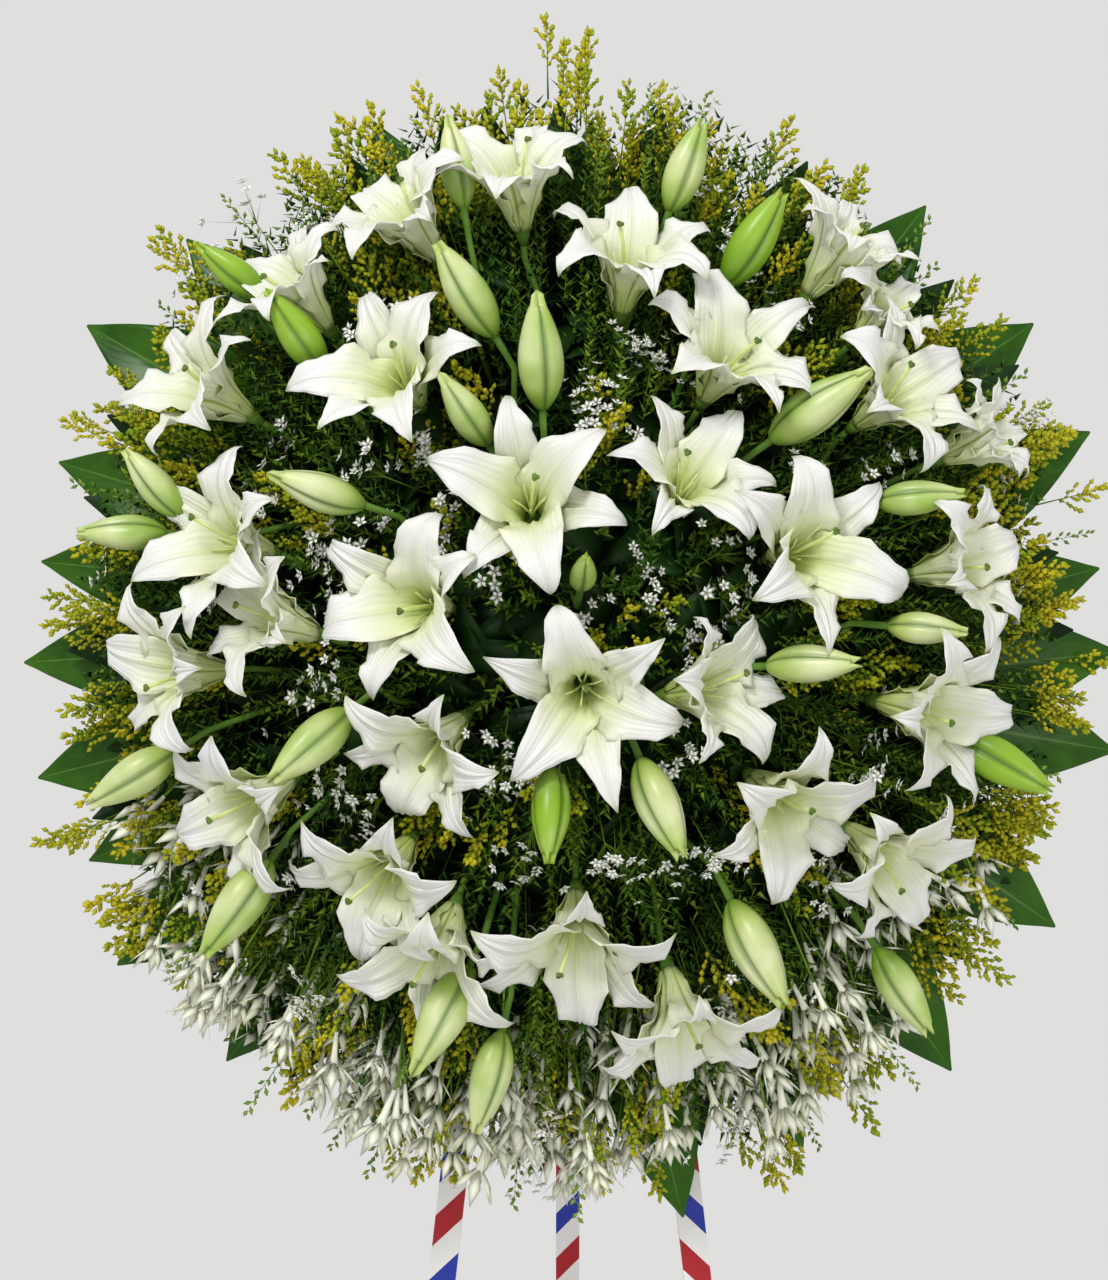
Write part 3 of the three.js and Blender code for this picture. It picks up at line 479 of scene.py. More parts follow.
def strand(bm, points, radii, sides=5, material=0):
    """A closed tapering strand along points."""
    ring = bmesh.ops.create_circle(bm, cap_ends=True, segments=sides, radius=1.0)["verts"]
    every = list(ring)

    def station(i):
        ahead = points[min(i + 1, len(points) - 1)] - points[max(i - 1, 0)]
        return upright(ahead.normalized(), points[i]) @ Matrix.Scale(radii[i], 4)

    bmesh.ops.transform(bm, matrix=station(0), verts=ring)
    caps = faces_of(ring)
    for i in range(1, len(points)):
        made = bmesh.ops.extrude_face_region(bm, geom=caps)["geom"]
        if i > 1:
            bmesh.ops.delete(bm, geom=caps, context="FACES_ONLY")
        ring = [item for item in made if isinstance(item, bmesh.types.BMVert)]
        caps = [item for item in made if isinstance(item, bmesh.types.BMFace)]
        bmesh.ops.transform(bm, matrix=station(i) @ station(i - 1).inverted(), verts=ring)
        every += ring
    faces = faces_of(every)
    bmesh.ops.recalc_face_normals(bm, faces=faces)
    for face in faces:
        face.material_index = material
    return every


def rod(bm, start, end, radius, end_radius, sides=3, material=0):
    along = end - start
    made = bmesh.ops.create_cone(
        bm,
        cap_ends=True,
        segments=sides,
        radius1=radius,
        radius2=end_radius,
        depth=along.length,
        matrix=upright(along.normalized(), (start + end) / 2),
    )["verts"]
    paint(made, material)
    return made


# ---- lilies
ROWS = 20  # faces along a petal
ACROSS = 12  # faces across it
WIDEST = 0.46  # how far along a petal is widest
CLAW = 0.36  # its width where it starts, over its widest
THROAT = 0.007  # the radius of the ring that the petals start from
BROAD, NARROW = 0.47, 0.34  # a petal's width over the bloom's length
PETAL_THICK = 0.0007


def smooth(share):
    share = min(1.0, max(0.0, share))
    return share * share * (3 - 2 * share)


def petal_line(length, flare, droop, curl):
    """The midrib: a list of (distance from the axis, height, angle), one for each row."""
    line = []
    r, h = THROAT, 0.0
    for i in range(ROWS + 1):
        s = i / ROWS
        rolled = curl * max(0.0, (s - 0.6) / 0.4) ** 1.6
        angle = math.radians(12 + 93 * flare * s**1.6 + droop * s + rolled)
        line.append((r, h, angle))
        r += math.sin(angle) * length / ROWS
        h += math.cos(angle) * length / ROWS
    return line


def petal_half(s):
    """Half a petal's width over its widest half: a claw, a broad blade and a drawn-out tip."""
    rise = CLAW + (1 - CLAW) * smooth(s / WIDEST)
    taper = max(0.0, (s - WIDEST) / (1 - WIDEST))
    return max(0.02, rise * (1 - taper**1.6))


def petal_relief(u, s):
    """The raised midrib between its two grooves."""
    ridge = 0.0017 * math.exp(-((u / 0.07) ** 2))
    groove = 0.0022 * math.exp(-(((abs(u) - 0.21) / 0.1) ** 2))
    return (ridge - groove) * math.sin(math.pi * s) ** 0.6


def add_petal(bm, place, azimuth, width, length, flare, above):
    """A petal cupped round the throat, ruffled at its edges, turned and rolled back at its tip."""
    long = length * chance.uniform(0.98, 1.12)
    line = petal_line(long, flare, chance.uniform(-15, 8), chance.uniform(20, 105))
    sway = chance.uniform(-0.09, 0.09) * length
    twist = math.radians(chance.uniform(-26, 26))
    ruffles = [
        (chance.uniform(0.0035, 0.007), chance.uniform(17, 27), chance.uniform(0, 6.28)) for _ in range(2)
    ]
    radial, side = heading(azimuth), heading(azimuth + 90)
    grid = bmesh.ops.create_grid(bm, x_segments=ACROSS, y_segments=ROWS, size=1.0, calc_uvs=True)["verts"]
    for vert in grid:
        u, s = math.copysign(abs(vert.co.x) ** 1.35, vert.co.x), (vert.co.y + 1) / 2
        r, h, angle = line[round(s * ROWS)]
        deep, often, phase = ruffles[u > 0]
        wave = math.sin(often * s + phase) + 0.4 * math.sin(2.3 * often * s + 2 * phase)
        half = width / 2 * petal_half(s) * (1 + 0.07 * abs(u) * wave)
        bend = r + 0.03 * s * s
        lift = bend * (1 - math.cos(u * half / bend)) * (1 - 0.8 * s)
        lift += deep * abs(u) ** 1.9 * math.sin(math.pi * min(1, 1.02 * s)) * wave
        lift += petal_relief(u, s) + above * (0.001 + 0.003 * math.sin(math.pi * s))
        inward = OUT * math.sin(angle) - radial * math.cos(angle)
        turned = twist * s * s
        flat = side * math.cos(turned) + inward * math.sin(turned)
        raised = inward * math.cos(turned) - side * math.sin(turned)
        spread = bend * math.sin(u * half / bend)
        vert.co = radial * r + OUT * h + side * sway * s * s + flat * spread + raised * lift
    tone, back = bm.verts.layers.float["tone"], bm.verts.layers.float["back"]
    shade = chance.uniform(0, 1)
    for vert in grid:
        vert[tone] = shade
    faces = faces_of(grid)
    bmesh.ops.recalc_face_normals(bm, faces=faces)
    if sum(face.normal.dot(OUT) for face in faces) < 0:
        bmesh.ops.reverse_faces(bm, faces=faces)
    shell = bmesh.ops.solidify(bm, geom=faces, thickness=PETAL_THICK)["geom"]
    front = set(grid)
    under = {item for item in shell if isinstance(item, bmesh.types.BMVert)} - front
    for vert in under:
        vert[back] = 1.0
    face_outward(bm, faces_of([*grid, *under]))
    bmesh.ops.transform(bm, matrix=place, verts=[*grid, *under])


def bloom_place(plan):
    """The axis of a bloom, and the foot of its petals."""
    x, y, faces, tilt, length = plan[:5]
    axis = facing(faces, tilt)
    mouth = on_dome(x / 1000, y / 1000)
    return axis, mouth - axis * 0.5 * length / 1000


def add_bloom(bm, plan):
    """Three narrow petals under three broad ones, six bare filaments and a long pistil."""
    length, spin, flare = plan[4] / 1000, plan[5], plan[6]
    axis, base = bloom_place(plan)
    place = shortest(axis, base)
    for k in range(6):
        narrow = k % 2
        width = length * (NARROW if narrow else BROAD) * chance.uniform(0.94, 1.06)
        azimuth = spin + 60 * k + chance.uniform(-7, 7)
        add_petal(bm, place, azimuth, width, length * (1.03 if narrow else 1.0), flare, -1 if narrow else 1)
    lean = heading(chance.uniform(0, 360)) * 0.009
    for k in range(6):
        tall = length * chance.uniform(0.36, 0.48)
        spread = heading(spin + 30 + 60 * k + chance.uniform(-12, 12)) * chance.uniform(0.01, 0.02)
        points = [Vector((0, 0, tall * t)) + (spread + lean) * t * t for t in (0.1, 0.4, 0.75, 1.0)]
        verts = strand(bm, points, [0.0013, 0.001, 0.0009, 0.0007], 5, 3)
        bmesh.ops.transform(bm, matrix=place, verts=verts)
    tall = length * 0.7
    points = [Vector((0, 0, tall * t)) + lean * 1.6 * t * t for t in (0.1, 0.4, 0.75, 1.0)]
    verts = strand(bm, points, [0.0024, 0.0017, 0.0016, 0.0019], 6, 3)
    for k in range(3):
        lobe = Matrix.Translation(points[-1] + heading(120 * k) * 0.0016)
        ball = bmesh.ops.create_icosphere(bm, subdivisions=1, radius=0.0024, matrix=lobe)["verts"]
        paint(ball, 4)
        verts += ball
    bmesh.ops.transform(bm, matrix=place, verts=verts)
    neck = strand(bm, [Vector((0, 0, z)) for z in (-0.016, -0.006, 0.004)], [0.0036, 0.0064, 0.0072], 8, 2)
    bmesh.ops.transform(bm, matrix=place, verts=neck)


def bud_place(plan):
    x, y, points, lift, length = plan
    axis = facing(points, 90 - lift)
    middle = on_dome(x / 1000, y / 1000, 0.008)
    return axis, middle - axis * 0.5 * length / 1000


BUD_SLIM = 0.18  # its widest radius over its length
TIP_FROM = 0.84  # its three petals part from here on


def add_bud(bm, plan):
    """Three broad petals folded together, with a groove between each pair and parted tips."""
    length = plan[4] / 1000
    axis, base = bud_place(plan)
    layers = bm.verts.layers.float
    blush = chance.choice((0.0, 0.05, 0.2, 0.4, 0.85))
    phase = chance.uniform(0, 2)
    made = bmesh.ops.create_uvsphere(bm, u_segments=36, v_segments=20, radius=1.0, calc_uvs=True)["verts"]
    for vert in made:
        s = 1 - math.acos(min(1, max(-1, vert.co.z))) / math.pi
        theta = math.atan2(vert.co.y, vert.co.x)
        petal = math.cos(3 * theta + phase)
        groove = max(0.0, -petal) ** 10
        parted = smooth((s - TIP_FROM) / (1 - TIP_FROM))
        swell = math.sin(math.pi * min(1, s) ** 0.76) ** 0.9
        radius = BUD_SLIM * length * swell * (1 + 0.06 * petal - 0.2 * groove)
        radius += 0.036 * length * parted * max(0.0, petal) * (s < 0.99)
        height = length * (s - 0.13 * parted * (1 - max(0.0, petal)))
        vert[layers["tone"]] = blush
        # the ridge layer marks the grooves and the gaps between the parted tips, where a dark green line and
        # painted shade go
        vert[layers["ridge"]] = 0.9 * max(groove, 0.5 * parted * max(0.0, -petal))
        vert.co = Vector((radius * math.cos(theta), radius * math.sin(theta), height))
    paint(made, 1)
    bmesh.ops.transform(bm, matrix=shortest(axis, base), verts=made)


def add_stalks(bm, bases):
    middle = sum((base for _, base in bases), Vector()) / len(bases)
    way = (middle - CORE).normalized()
    way.z = max(way.z, 0.16)
    way.normalize()
    reach = 1 / Vector((way.x / FOAM.x, way.y / FOAM.y, way.z / FOAM.z)).length
    fork = CORE + way * (reach + 0.014)
    strand(bm, [CORE + way * reach * 0.9, fork], [0.0042, 0.0042], 7, 2)
    for axis, base in bases:
        bend = base - axis * 0.03
        points = [fork - way * 0.004, fork.lerp(bend, 0.6) + way * 0.006, bend, base + axis * 0.006]
        strand(bm, points, [0.0034, 0.003, 0.003, 0.0038], 6, 2)


def lily_stem(number, blooms, buds):
    bm = bmesh.new()
    bm.loops.layers.uv.new("blade")
    # ridge carries where the buds get their dark green line and painted shade in the grooves
    for layer in ("tone", "ridge", "back"):
        bm.verts.layers.float.new(layer)
    for plan in blooms:
        add_bloom(bm, plan)
    for plan in buds:
        add_bud(bm, plan)
    add_stalks(bm, [bloom_place(plan) for plan in blooms] + [bud_place(plan) for plan in buds])
    node = f"lily_stem_{number:02d}"
    finished(f"lilies_{number:02d}", bm, [PETAL, BUD, STALK, FILAMENT, STIGMA], [node])


# ---- broad leaves
def leaf_half(s):
    """Half a leaf's width over its widest half: widest below the middle, nearly straight to the tip."""
    taper = max(0.0, (s - 0.42) / 0.58)
    return max(0.02, math.sin(math.pi / 2 * min(1, s / 0.42)) ** 0.7 * (1 - taper**1.5))


def add_leaf(bm, plan, order):
    tip_x, tip_y, points, length, width = plan
    tip = Vector((tip_x / 1000, tip_y / 1000, 0.002 - 0.012 * order))
    length, width = length / 1000, width / 1000
    axis = facing(points, 93)
    base = tip - axis * length
    side = axis.cross(Vector((0, 0, 1))).normalized()
    normal = side.cross(axis).normalized()
    grid = bmesh.ops.create_grid(bm, x_segments=10, y_segments=18, size=1.0, calc_uvs=True)["verts"]
    phase = chance.uniform(0, 6.28)
    for vert in grid:
        u, s = vert.co.x, (vert.co.y + 1) / 2
        half = width / 2 * leaf_half(s)
        bow = 0.014 * math.sin(math.pi * s) + 0.16 * half * abs(u)
        ripple = 0.0035 * u * u * math.sin(phase + 10 * s + 2 * u) * math.sin(math.pi * s)
        vert.co = base + axis * (s * length) + side * (u * half) + normal * (bow + ripple)
    faces = faces_of(grid)
    shell = bmesh.ops.solidify(bm, geom=faces, thickness=0.0008)["geom"]
    faces += [item for item in shell if isinstance(item, bmesh.types.BMFace)]
    face_outward(bm, list(set(faces)))
    return base


def leaf_twig(number, leaves):
    bm = bmesh.new()
    bm.loops.layers.uv.new("blade")
    for order, plan in enumerate(leaves):
        base = add_leaf(bm, plan, order)
        way = Vector((base.x, base.y, 0.05)).normalized()
        rooted = way * 0.19 + OUT * 0.01
        bent = base.lerp(way * 0.2, 0.5) + OUT * 0.02
        strand(bm, [rooted, bent, base], [0.003, 0.0024, 0.002], 6, 1)
    finished(f"leaves_{number:02d}", bm, [LEAF, STALK], [f"leaf_twig_{number:02d}"])


# ---- fillers
GOLDEN_TURN = 2.399963  # radians between one leaf or point and the next
FERN_TALL = 0.12
BRIGHT_TALL = 0.11
SPRAY_TALL = 0.095
TUFT_TALL = 0.075
POD_TALL = 0.1
HEAD_TALL = 0.08  # a head of white florets with its stalk
BELL_LONG = 0.052
BELL_STEM_LONG = 0.09
BLADE_THICK = 0.0007
FERNS = 1700  # stems of fine greens over the whole dome
DARK_LEAVES = 950
BRIGHT_SHARE = 0.45
RIM_FERNS = 60  # more of them for each sector of the rim
TUFTS = 46  # small clumps of goldenrod among the lilies
SPRAYS_EACH = 6  # goldenrod sprays at each place in the plan
BELLS_EACH = 7
RIM_BELLS = 36
SECTORS = 5  # the greens and the goldenrod are each in five pieces round the dome
SECTOR_TURN = 360 / SECTORS


def spiral_way(k, local, rise):
    spin = k * GOLDEN_TURN + local.uniform(-0.4, 0.4)
    return Vector((math.cos(spin), math.sin(spin), rise)).normalized()


def add_bead(bm, middle, axis, long, wide, thick, material):
    """A small eight-faced bead, drawn out along its axis."""
    place = upright(axis, middle) @ Matrix.Diagonal((wide, thick, long, 1))
    ball = bmesh.ops.create_uvsphere(bm, u_segments=4, v_segments=2, radius=1.0, matrix=place)["verts"]
    paint(ball, material)


def add_lobe(bm, start, way, face, long, wide, thick, material):
    """A flat pointed lobe from start along a way, its flat side turned to face a direction."""
    axis = way.normalized()
    place = Matrix.Translation(start + axis * long) @ laid(axis, face)
    place = place @ Matrix.Diagonal((wide, thick, long, 1))
    made = bmesh.ops.create_uvsphere(bm, u_segments=4, v_segments=2, radius=1.0, matrix=place)["verts"]
    paint(made, material)
    return made


def fern_template(long, leaflets, leaf, seed, material):
    """A stem with narrow leaflets all round it, along +Z."""
    bm = bmesh.new()
    local = random.Random(seed)
    rod(bm, Vector(), Vector((0, 0, long)), 0.001, 0.0, 3, material)
    for k in range(leaflets):
        s = 0.2 + 0.78 * k / leaflets
        way = spiral_way(k, local, 0.8)
        size = leaf * (1.1 - 0.55 * s) * local.uniform(0.8, 1.15)
        start = Vector((0, 0, long * s))
        made = rod(bm, start, start + way * size, 0.0031, 0.0, 3, material)
        flat = upright(way, start)
        bmesh.ops.transform(bm, matrix=flat @ Matrix.Diagonal((1, 0.28, 1, 1)) @ flat.inverted(), verts=made)
    return template(bm)


def panicle_template(long, branches, beads, bead, seed):
    """Goldenrod: side branches that shorten to the tip, each strung with small round blooms."""
    bm = bmesh.new()
    local = random.Random(seed)
    rod(bm, Vector(), Vector((0, 0, long)), 0.0011, 0.0)
    for k in range(branches):
        share = k / branches
        way = spiral_way(k, local, 1.3)
        reach = long * (0.3 - 0.22 * share)
        start = Vector((0, 0, long * (0.4 + 0.56 * share)))
        rod(bm, start, start + way * reach, 0.0005, 0.0)
        for j in range(beads):
            spot = start + way * reach * (0.2 + 0.8 * j / (beads - 1))
            spot += Vector([local.uniform(-0.0016, 0.0016) for _ in range(3)])
            size = bead * local.uniform(0.75, 1.25)
            add_bead(bm, spot, way, size * 1.5, size, size, 1)
    add_bead(bm, Vector((0, 0, long)), Vector((0, 0, 1)), bead * 2, bead, bead, 1)
    return template(bm)


def pod_template(long, seed):
    """A wand of small green pods, each on its own short stalk."""
    bm = bmesh.new()
    local = random.Random(seed)
    rod(bm, Vector(), Vector((0, 0, long)), 0.001, 0.0)
    for k in range(16):
        s = 0.35 + 0.63 * k / 15
        way = spiral_way(k, local, 1.0)
        start = Vector((0, 0, long * s))
        end = start + way * 0.011 * (1.3 - s)
        rod(bm, start, end, 0.0005, 0.0)
        add_bead(bm, end, way, 0.004, 0.002, 0.002, 2)
    return template(bm)


def floret_template(seed):
    """A loose head of small white five-petalled flowers on thin stalks."""
    bm = bmesh.new()
    local = random.Random(seed)
    rod(bm, Vector(), Vector((0, 0, 0.05)), 0.0008, 0.0005)
    for _ in range(8):
        end = Vector((local.gauss(0, 0.0125), local.gauss(0, 0.0125), 0.058 + local.uniform(0, 0.022)))
        rod(bm, Vector((0, 0, 0.044)), end, 0.0004, 0.0)
        flower = upright((end - Vector((0, 0, 0.035))).normalized(), end, local.uniform(0, 3))
        for j in range(5):
            way = heading(72 * j) + Vector((0, 0, 0.35))
            made = add_lobe(bm, Vector(), way, OUT, local.uniform(0.0029, 0.0039), 0.0019, 0.0005, 1)
            bmesh.ops.transform(bm, matrix=flower, verts=made)
    return template(bm)


def bell_template(long, seed):
    """A tuberose flower: a slim tube that parts into six narrow pointed lobes, on a thin stem."""
    bm = bmesh.new()
    local = random.Random(seed)
    rod(bm, -OUT * BELL_STEM_LONG, OUT * 0.002, 0.0011, 0.0014)
    strand(bm, [Vector((0, 0, t * long)) for t in (0, 0.4, 0.54)], [0.0018, 0.003, 0.0042], 6, 1)
    for k in range(6):
        out = heading(60 * k + local.uniform(-8, 8))
        way = out * local.uniform(0.3, 1.15) + OUT
        start = OUT * long * 0.5 + out * 0.003
        add_lobe(bm, start, way, out, 0.29 * long * local.uniform(0.85, 1.15), 0.0052, 0.0008, 1)
    return template(bm)


def blade_template(long, wide, material):
    """A small pointed leaf along +Z, thin and bowed."""
    bm = bmesh.new()
    grid = bmesh.ops.create_grid(bm, x_segments=2, y_segments=4, size=1.0)["verts"]
    for vert in grid:
        u, s = vert.co.x, (vert.co.y + 1) / 2
        half = wide / 2 * leaf_half(s)
        vert.co = Vector((u * half, 0.25 * half * abs(u) + 0.08 * long * math.sin(math.pi * s), long * s))
    bmesh.ops.solidify(bm, geom=list(bm.faces), thickness=BLADE_THICK)
    face_outward(bm, list(bm.faces))
    paint(bm.verts, material)
    return template(bm)


# ---- placing the fillers
BLOOMS = [(*bloom_place(plan), plan[4] / 1000) for blooms, _ in LILY_STEMS for plan in blooms]
BUDS = [(*bud_place(plan), plan[4] / 1000) for _, buds in LILY_STEMS for plan in buds]


CLEAR_TALL = 1.15  # how far in front of its foot a bloom is kept clear, over its length
CLEAR_WIDE = 0.62  # the widest radius kept clear round its axis, over its length
CLEAR_OPENING = 1.05  # how fast that radius grows with the height
BUD_CLEAR = 0.16  # the radius kept clear round a bud, over its length


def is_clear(spot, width):
    """Whether a sprig of a width keeps out of the space before every bloom, and off every bud."""
    for axis, base, length in BLOOMS:
        offset = spot - base
        height = offset.dot(axis)
        if 0 < height < CLEAR_TALL * length:
            away = (offset - axis * height).length - width
            if away < min(CLEAR_WIDE * length, 0.004 + CLEAR_OPENING * height):
                return False
    for axis, base, length in BUDS:
        offset = spot - base
        height = min(max(offset.dot(axis), 0), length)
        if (offset - axis * height).length - width < BUD_CLEAR * length:
            return False
    return True


def add_sprig(bm, mesh, tall, width, root, tip):
    """A sprig along root to tip that ends at the tip, or sooner where it would cover a flower."""
    axis, reach = (tip - root).normalized(), (tip - root).length
    size, spin = chance.uniform(0.82, 1.15), chance.uniform(0, 6.28)
    for share in (1.0, 0.85, 0.7, 0.5):
        top = root + axis * reach * share
        if all(is_clear(top - axis * tall * t, width) for t in (0.0, 0.22, 0.45)):
            add_copy(bm, mesh, upright(axis, top - axis * tall * size, spin) @ Matrix.Scale(size, 4))
            return


def shell_points(count, widest):
    """Even places over the dome, out to an angle from its axis."""
    for k in range(count):
        rise = 1 - (k + 0.5) / count * (1 - math.cos(math.radians(widest)))
        ring = math.sqrt(max(0.0, 1 - rise * rise))
        spin = k * GOLDEN_TURN + chance.uniform(-0.5, 0.5)
        yield Vector((DOME.x * ring * math.cos(spin), DOME.y * ring * math.sin(spin), DOME.z * rise))


def in_sector(spot, number, count):
    return int((math.atan2(spot.y, spot.x) + math.pi) / (2 * math.pi) * count) % count == number


def clump(bm, templates, tall, width, x, y, count, spread, low, high):
    """Sprigs that fan out round a place on the dome and end between two depths under it."""
    for _ in range(count):
        tip = on_dome(x + chance.gauss(0, spread), y + chance.gauss(0, spread), chance.uniform(low, high))
        root = CORE.lerp(tip, 0.4) + Vector((chance.gauss(0, 0.015), chance.gauss(0, 0.015), 0))
        add_sprig(bm, chance.choice(templates), tall, width, root, tip)


def rim_place(degrees, out, z):
    """A place at a share of the way out to the rim."""
    way = heading(degrees) * out
    return Vector((DOME.x * way.x, DOME.y * way.y, z))


def plant_backing():
    """Three rings of broad leaves that close the back of the dome, coloured far darker than their own green
    as painted shade.
    """
    bm = bmesh.new()
    leaf = blade_template(0.17, 0.08, 0)
    for count, start, depth in ((26, 0.15, 0.075), (34, 0.21, 0.045), (44, 0.27, 0.02)):
        for k in range(count):
            out = heading(360 * k / count + chance.uniform(-3, 3))
            axis = (out + OUT * chance.uniform(-0.05, 0.05)).normalized()
            reach = start * chance.uniform(0.94, 1.08) * (1 + 0.1 * abs(out.y))
            place = Matrix.Translation(out * reach + OUT * (depth + chance.uniform(-0.006, 0.006)))
            add_copy(bm, leaf, place @ laid(axis, OUT))
    finished("backing_leaves", bm, [SHADE_DARK_LEAF], [])
    bpy.data.meshes.remove(leaf)


def plant_greens():
    """Fine leafy stems through the whole dome, over a closed layer of small leaves darkened as painted shade
    of the dome's depths.
    """
    dark = [fern_template(FERN_TALL, 18, 0.02, seed, 0) for seed in (1, 2)]
    bright = [fern_template(BRIGHT_TALL, 18, 0.016, 3, 1)]
    blade = blade_template(0.085, 0.034, 2)
    stems, leaves = list(shell_points(FERNS, 96)), list(shell_points(DARK_LEAVES, 100))
    for number in range(SECTORS):
        bm = bmesh.new()
        for spot in stems:
            if in_sector(spot, number, SECTORS):
                root = CORE.lerp(spot, 0.4) + Vector([chance.gauss(0, 0.018) for _ in range(3)])
                kinds = bright if chance.random() < BRIGHT_SHARE else dark
                add_sprig(bm, chance.choice(kinds), FERN_TALL, 0.008, root, spot * chance.uniform(0.8, 0.96))
        # the closed layer of small leaves in the painted-shade colour, set back under the face of the dome
        for spot in leaves:
            if in_sector(spot, number, SECTORS):
                way = (spot - CORE).normalized()
                turned = Vector([chance.gauss(0, 1) for _ in range(3)]).cross(way).normalized()
                axis = (turned + way * chance.uniform(-0.1, 0.6)).normalized()
                foot = spot * chance.uniform(0.56, 0.72) - axis * 0.04
                add_copy(bm, blade, Matrix.Translation(foot) @ laid(axis, -way))
        for _ in range(RIM_FERNS):
            turn = SECTOR_TURN * number - 180 + chance.uniform(0, SECTOR_TURN)
            tip = rim_place(turn, chance.uniform(0.78, 0.95), chance.uniform(0.005, 0.07))
            kinds = bright if chance.random() < 0.5 else dark
            add_sprig(bm, chance.choice(kinds), FERN_TALL, 0.008, CORE.lerp(tip, 0.4), tip)
        finished(f"greens_{number + 1:02d}", bm, [GREENS, SPRIG_GREEN, SHADE_DARK_LEAF], [])
    for mesh in (*dark, *bright, blade):
        bpy.data.meshes.remove(mesh)


def plant_goldenrod():
    """Full panicles round the rim, with green pods between, and smaller tufts among the lilies."""
    full = [panicle_template(SPRAY_TALL, 11, 5, 0.0022, seed) for seed in (4, 5, 6)]
    tufts = [panicle_template(TUFT_TALL, 8, 5, 0.0023, seed) for seed in (7, 8)]
    pods = [pod_template(POD_TALL, seed) for seed in (9, 10)]
    tuft_spots = list(shell_points(TUFTS, 84))
    for number, tips in enumerate(GOLDENROD_BUNCHES):
        bm = bmesh.new()
        for x, y, z in tips:
            for _ in range(SPRAYS_EACH):
                tip = Vector((x / 1000, y / 1000, z / 1000)) * chance.uniform(0.8, 0.95)
                tip += Vector([chance.gauss(0, 0.016) for _ in range(3)])
                add_sprig(bm, chance.choice(full), SPRAY_TALL, 0.01, CORE.lerp(tip, 0.5), tip)
        for spot in tuft_spots:
            if in_sector(spot, number, SECTORS):
                clump(bm, tufts, TUFT_TALL, 0.01, spot.x, spot.y, 6, 0.022, -0.04, -0.004)
        for k in range(16):
            turn = SECTOR_TURN * number - 180 + 4.5 * k + chance.uniform(-3, 3)
            tip = rim_place(turn, chance.uniform(0.82, 1.0), 0.04)
            tip.z += chance.uniform(-0.03, 0.05)
            green = k % 3 or heading(turn).y < -0.6
            kinds = pods if green else full
            add_sprig(bm, chance.choice(kinds), SPRAY_TALL, 0.01, CORE.lerp(tip, 0.5), tip)
        name = f"goldenrod_sprays_{number + 1:02d}"
        finished(name, bm, [SPRIG_GREEN, GOLD, POD], [f"goldenrod_{number + 1:02d}"])
    for mesh in (*full, *tufts, *pods):
        bpy.data.meshes.remove(mesh)


def plant_filler():
    """Heads of small white flowers, thickest where the lilies leave room."""
    heads = [floret_template(seed) for seed in (11, 12, 13)]
    spots = list(shell_points(24, 76))
    for number, places in enumerate(FILLER_BUNCHES):
        bm = bmesh.new()
        for x, y in places:
            clump(bm, heads, HEAD_TALL, 0.012, x / 1000, y / 1000, 3, 0.022, -0.04, -0.006)
        for spot in spots:
            if in_sector(spot, number, 3):
                clump(bm, heads, HEAD_TALL, 0.012, spot.x, spot.y, 2, 0.026, -0.04, -0.008)
        name = f"white_florets_{number + 1:02d}"
        finished(name, bm, [SPRIG_GREEN, FLORET], [f"white_filler_{number + 1:02d}"])
    for mesh in heads:
        bpy.data.meshes.remove(mesh)


def plant_tuberoses():
    """White bells on thin stems that point out and down round the lower rim."""
    bells = [bell_template(BELL_LONG, seed) for seed in (14, 15, 16)]
    for number, mouths in enumerate(TUBEROSE_BUNCHES):
        bm = bmesh.new()
        places = [Vector((x / 1000, y / 1000, dome_depth(x / 1000, y / 1000) * 0.55)) for x, y in mouths]
        places *= BELLS_EACH
        for _ in range(RIM_BELLS):
            turn = chance.uniform(205, 242) + 30 * number
            places.append(rim_place(turn, chance.uniform(0.72, 0.95), 0.06))
        for place in places:
            spot = place + Vector([chance.gauss(0, 0.024) for _ in range(3)])
            spot *= min(1.0, 0.98 / Vector((spot.x / DOME.x, spot.y / DOME.y)).length)
            spot.z = max(spot.z, 0.005)
            outward = Vector((spot.x, spot.y, 0)).normalized()
            sideways = Vector([chance.gauss(0, 0.24) for _ in range(3)])
            axis = (outward + Vector((0, -0.55, 0.3)) + sideways).normalized()
            if is_clear(spot, 0.008) and is_clear(spot - axis * 0.03, 0.006):
                size, spin = chance.uniform(0.8, 1.15), chance.uniform(0, 6.28)
                place = upright(axis, spot - axis * BELL_LONG * size, spin) @ Matrix.Scale(size, 4)
                add_copy(bm, chance.choice(bells), place)
        name = f"tuberoses_{number + 1:02d}"
        finished(name, bm, [BELL_STEM, BELL], [f"tuberose_{number + 1:02d}"])
    for mesh in bells:
        bpy.data.meshes.remove(mesh)


# ---- leg sleeves
WRAP_TURN = 0.116  # the length of leg that one turn of the ribbon covers
SLEEVE_HALF = 0.01255  # half the sleeve's width


def around_square(x, y, normal_x, normal_y):
    """How far round a square sleeve a point is, from 0 to 4, from the front's left corner."""
    if abs(normal_x) > abs(normal_y):
        share = (y / SLEEVE_HALF + 1) / 2
        return 1 + share if normal_x > 0 else 4 - share
    share = (x / SLEEVE_HALF + 1) / 2
    return share if normal_y < 0 else 3 - share


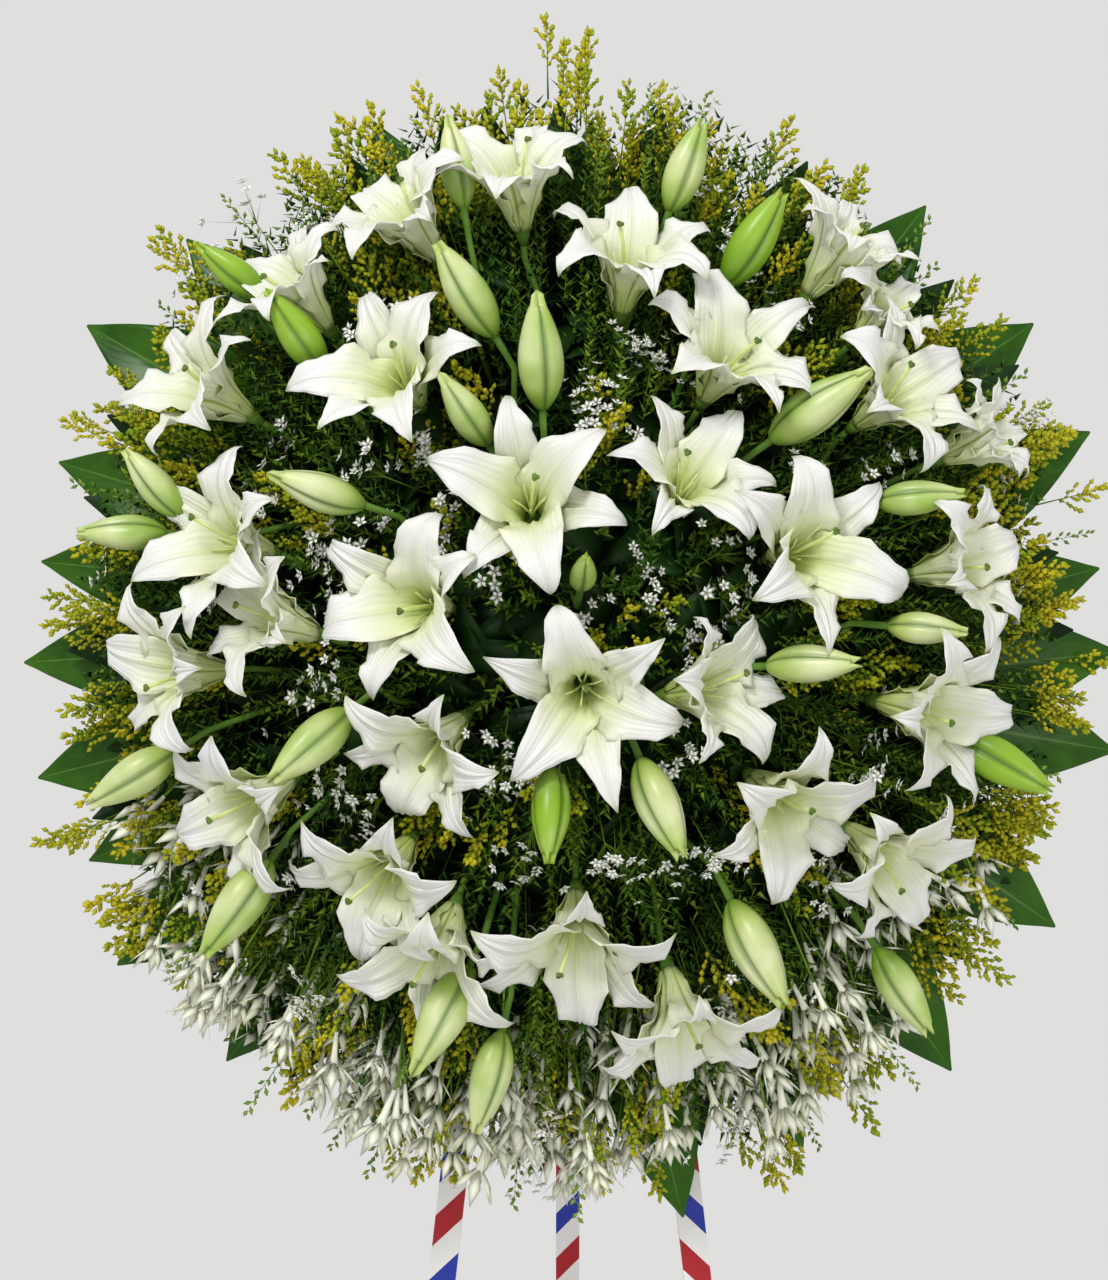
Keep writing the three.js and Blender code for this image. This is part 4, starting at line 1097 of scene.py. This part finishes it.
def leg_sleeve(side, node, start):
    """The ribbon over a leg: its solid's own shape, mapped round and along for the stripes."""
    bm = bmesh.new()
    bm.from_mesh(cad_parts[node].data)
    bmesh.ops.remove_doubles(bm, verts=bm.verts, dist=1e-6)
    layer = bm.loops.layers.uv.new("wrap")
    low, high = (picked(vert.co.z for vert in bm.verts) for picked in (min, max))
    top = [vert.co for vert in bm.verts if vert.co.z > high - 0.03]
    foot = [vert.co for vert in bm.verts if vert.co.z < low + 0.01]
    foot_middle = sum(foot, Vector()) / len(foot)
    axis = (sum(top, Vector()) / len(top) - foot_middle).normalized()
    right = (Vector((1, 0, 0)) - axis * axis.x).normalized()
    back = axis.cross(right).normalized()
    for face in bm.faces:
        for loop in face.loops:
            offset = loop.vert.co - foot_middle
            round_it = around_square(
                offset.dot(right), offset.dot(back), face.normal.dot(right), face.normal.dot(back)
            )
            along = offset.dot(axis)
            loop[layer].uv = (start + along / WRAP_TURN - side * round_it / 4, along)
    piece = finished(f"ribbon_{node}", bm, [RIBBON], [node], Matrix.Identity(4))
    piece.data.polygons.foreach_set("use_smooth", [False] * len(piece.data.polygons))


# ---- the wreath
for index, (blooms, buds) in enumerate(LILY_STEMS, 1):
    lily_stem(index, blooms, buds)
for index, leaves in enumerate(LEAF_TWIGS, 1):
    leaf_twig(index, leaves)
plant_backing()
plant_greens()
plant_goldenrod()
plant_filler()
plant_tuberoses()
leg_sleeve(1, "leg_sleeve_left", 0.06)
leg_sleeve(1, "leg_sleeve_back", 0.64)
leg_sleeve(-1, "leg_sleeve_right", 0.22)

KEPT = [
    (WOOD, "front_leg_left front_leg_right back_leg upper_rail lower_rail apex_block back_stay"),
    (STEEL, "apex_bolt tray_bolt"),
    (TRAY, "foam_tray"),
    (FOAM_FINISH, "foam_core"),
]
for material, kept_nodes in KEPT:
    for node in kept_nodes.split():
        for material_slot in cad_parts[node].material_slots:
            material_slot.material = material

# ---- floor, light and camera
FLOOR_RADIUS = 1.3
WORLD_STRENGTH = 0.74
VIEW_DISTANCE = 2.6
VIEW_TALL = 1.1776  # how much the longer side of the view takes in at that distance
VIEW_CENTRE = (-0.0147, -0.0092)
SENSOR = 36

bm = bmesh.new()
bmesh.ops.create_circle(bm, cap_ends=True, segments=96, radius=FLOOR_RADIUS)
floor_mesh = bpy.data.meshes.new("floor")
bm.to_mesh(floor_mesh)
bm.free()
floor_mesh.materials.append(FLOOR)
floor = bpy.data.objects.new("floor", floor_mesh)
bpy.context.collection.objects.link(floor)

world = bpy.data.worlds.new("studio")
bpy.context.scene.world = world
world.use_nodes = True
world.node_tree.nodes["Background"].inputs["Color"].default_value = (1.0, 0.995, 0.985, 1)
world.node_tree.nodes["Background"].inputs["Strength"].default_value = WORLD_STRENGTH


def soft_light(name, place, aim, size, power):
    light = bpy.data.lights.new(name, "AREA")
    light.shape = "DISK"
    light.size = size
    light.energy = power
    lamp = bpy.data.objects.new(name, light)
    lamp.location = place
    lamp.rotation_mode = "QUATERNION"
    lamp.rotation_quaternion = (aim - Vector(place)).to_track_quat("-Z", "Y")
    bpy.context.collection.objects.link(lamp)


middle = HEAD @ Vector((0, 0, 0.05))
soft_light("key", (-0.9, -2.2, 3.4), middle, 0.8, 48)
soft_light("fill", (1.3, -3.0, 1.1), middle, 1.6, 15)
soft_light("rear", (0.6, 2.6, 2.6), middle, 1.6, 10)

camera_data = bpy.data.cameras.new("camera")
camera_data.sensor_width = SENSOR
camera_data.lens = SENSOR * VIEW_DISTANCE / VIEW_TALL
camera = bpy.data.objects.new("camera", camera_data)
camera.matrix_world = HEAD @ Matrix.Translation((*VIEW_CENTRE, VIEW_DISTANCE))
bpy.context.collection.objects.link(camera)
bpy.context.scene.camera = camera
bpy.context.scene.view_settings.view_transform = "Standard"
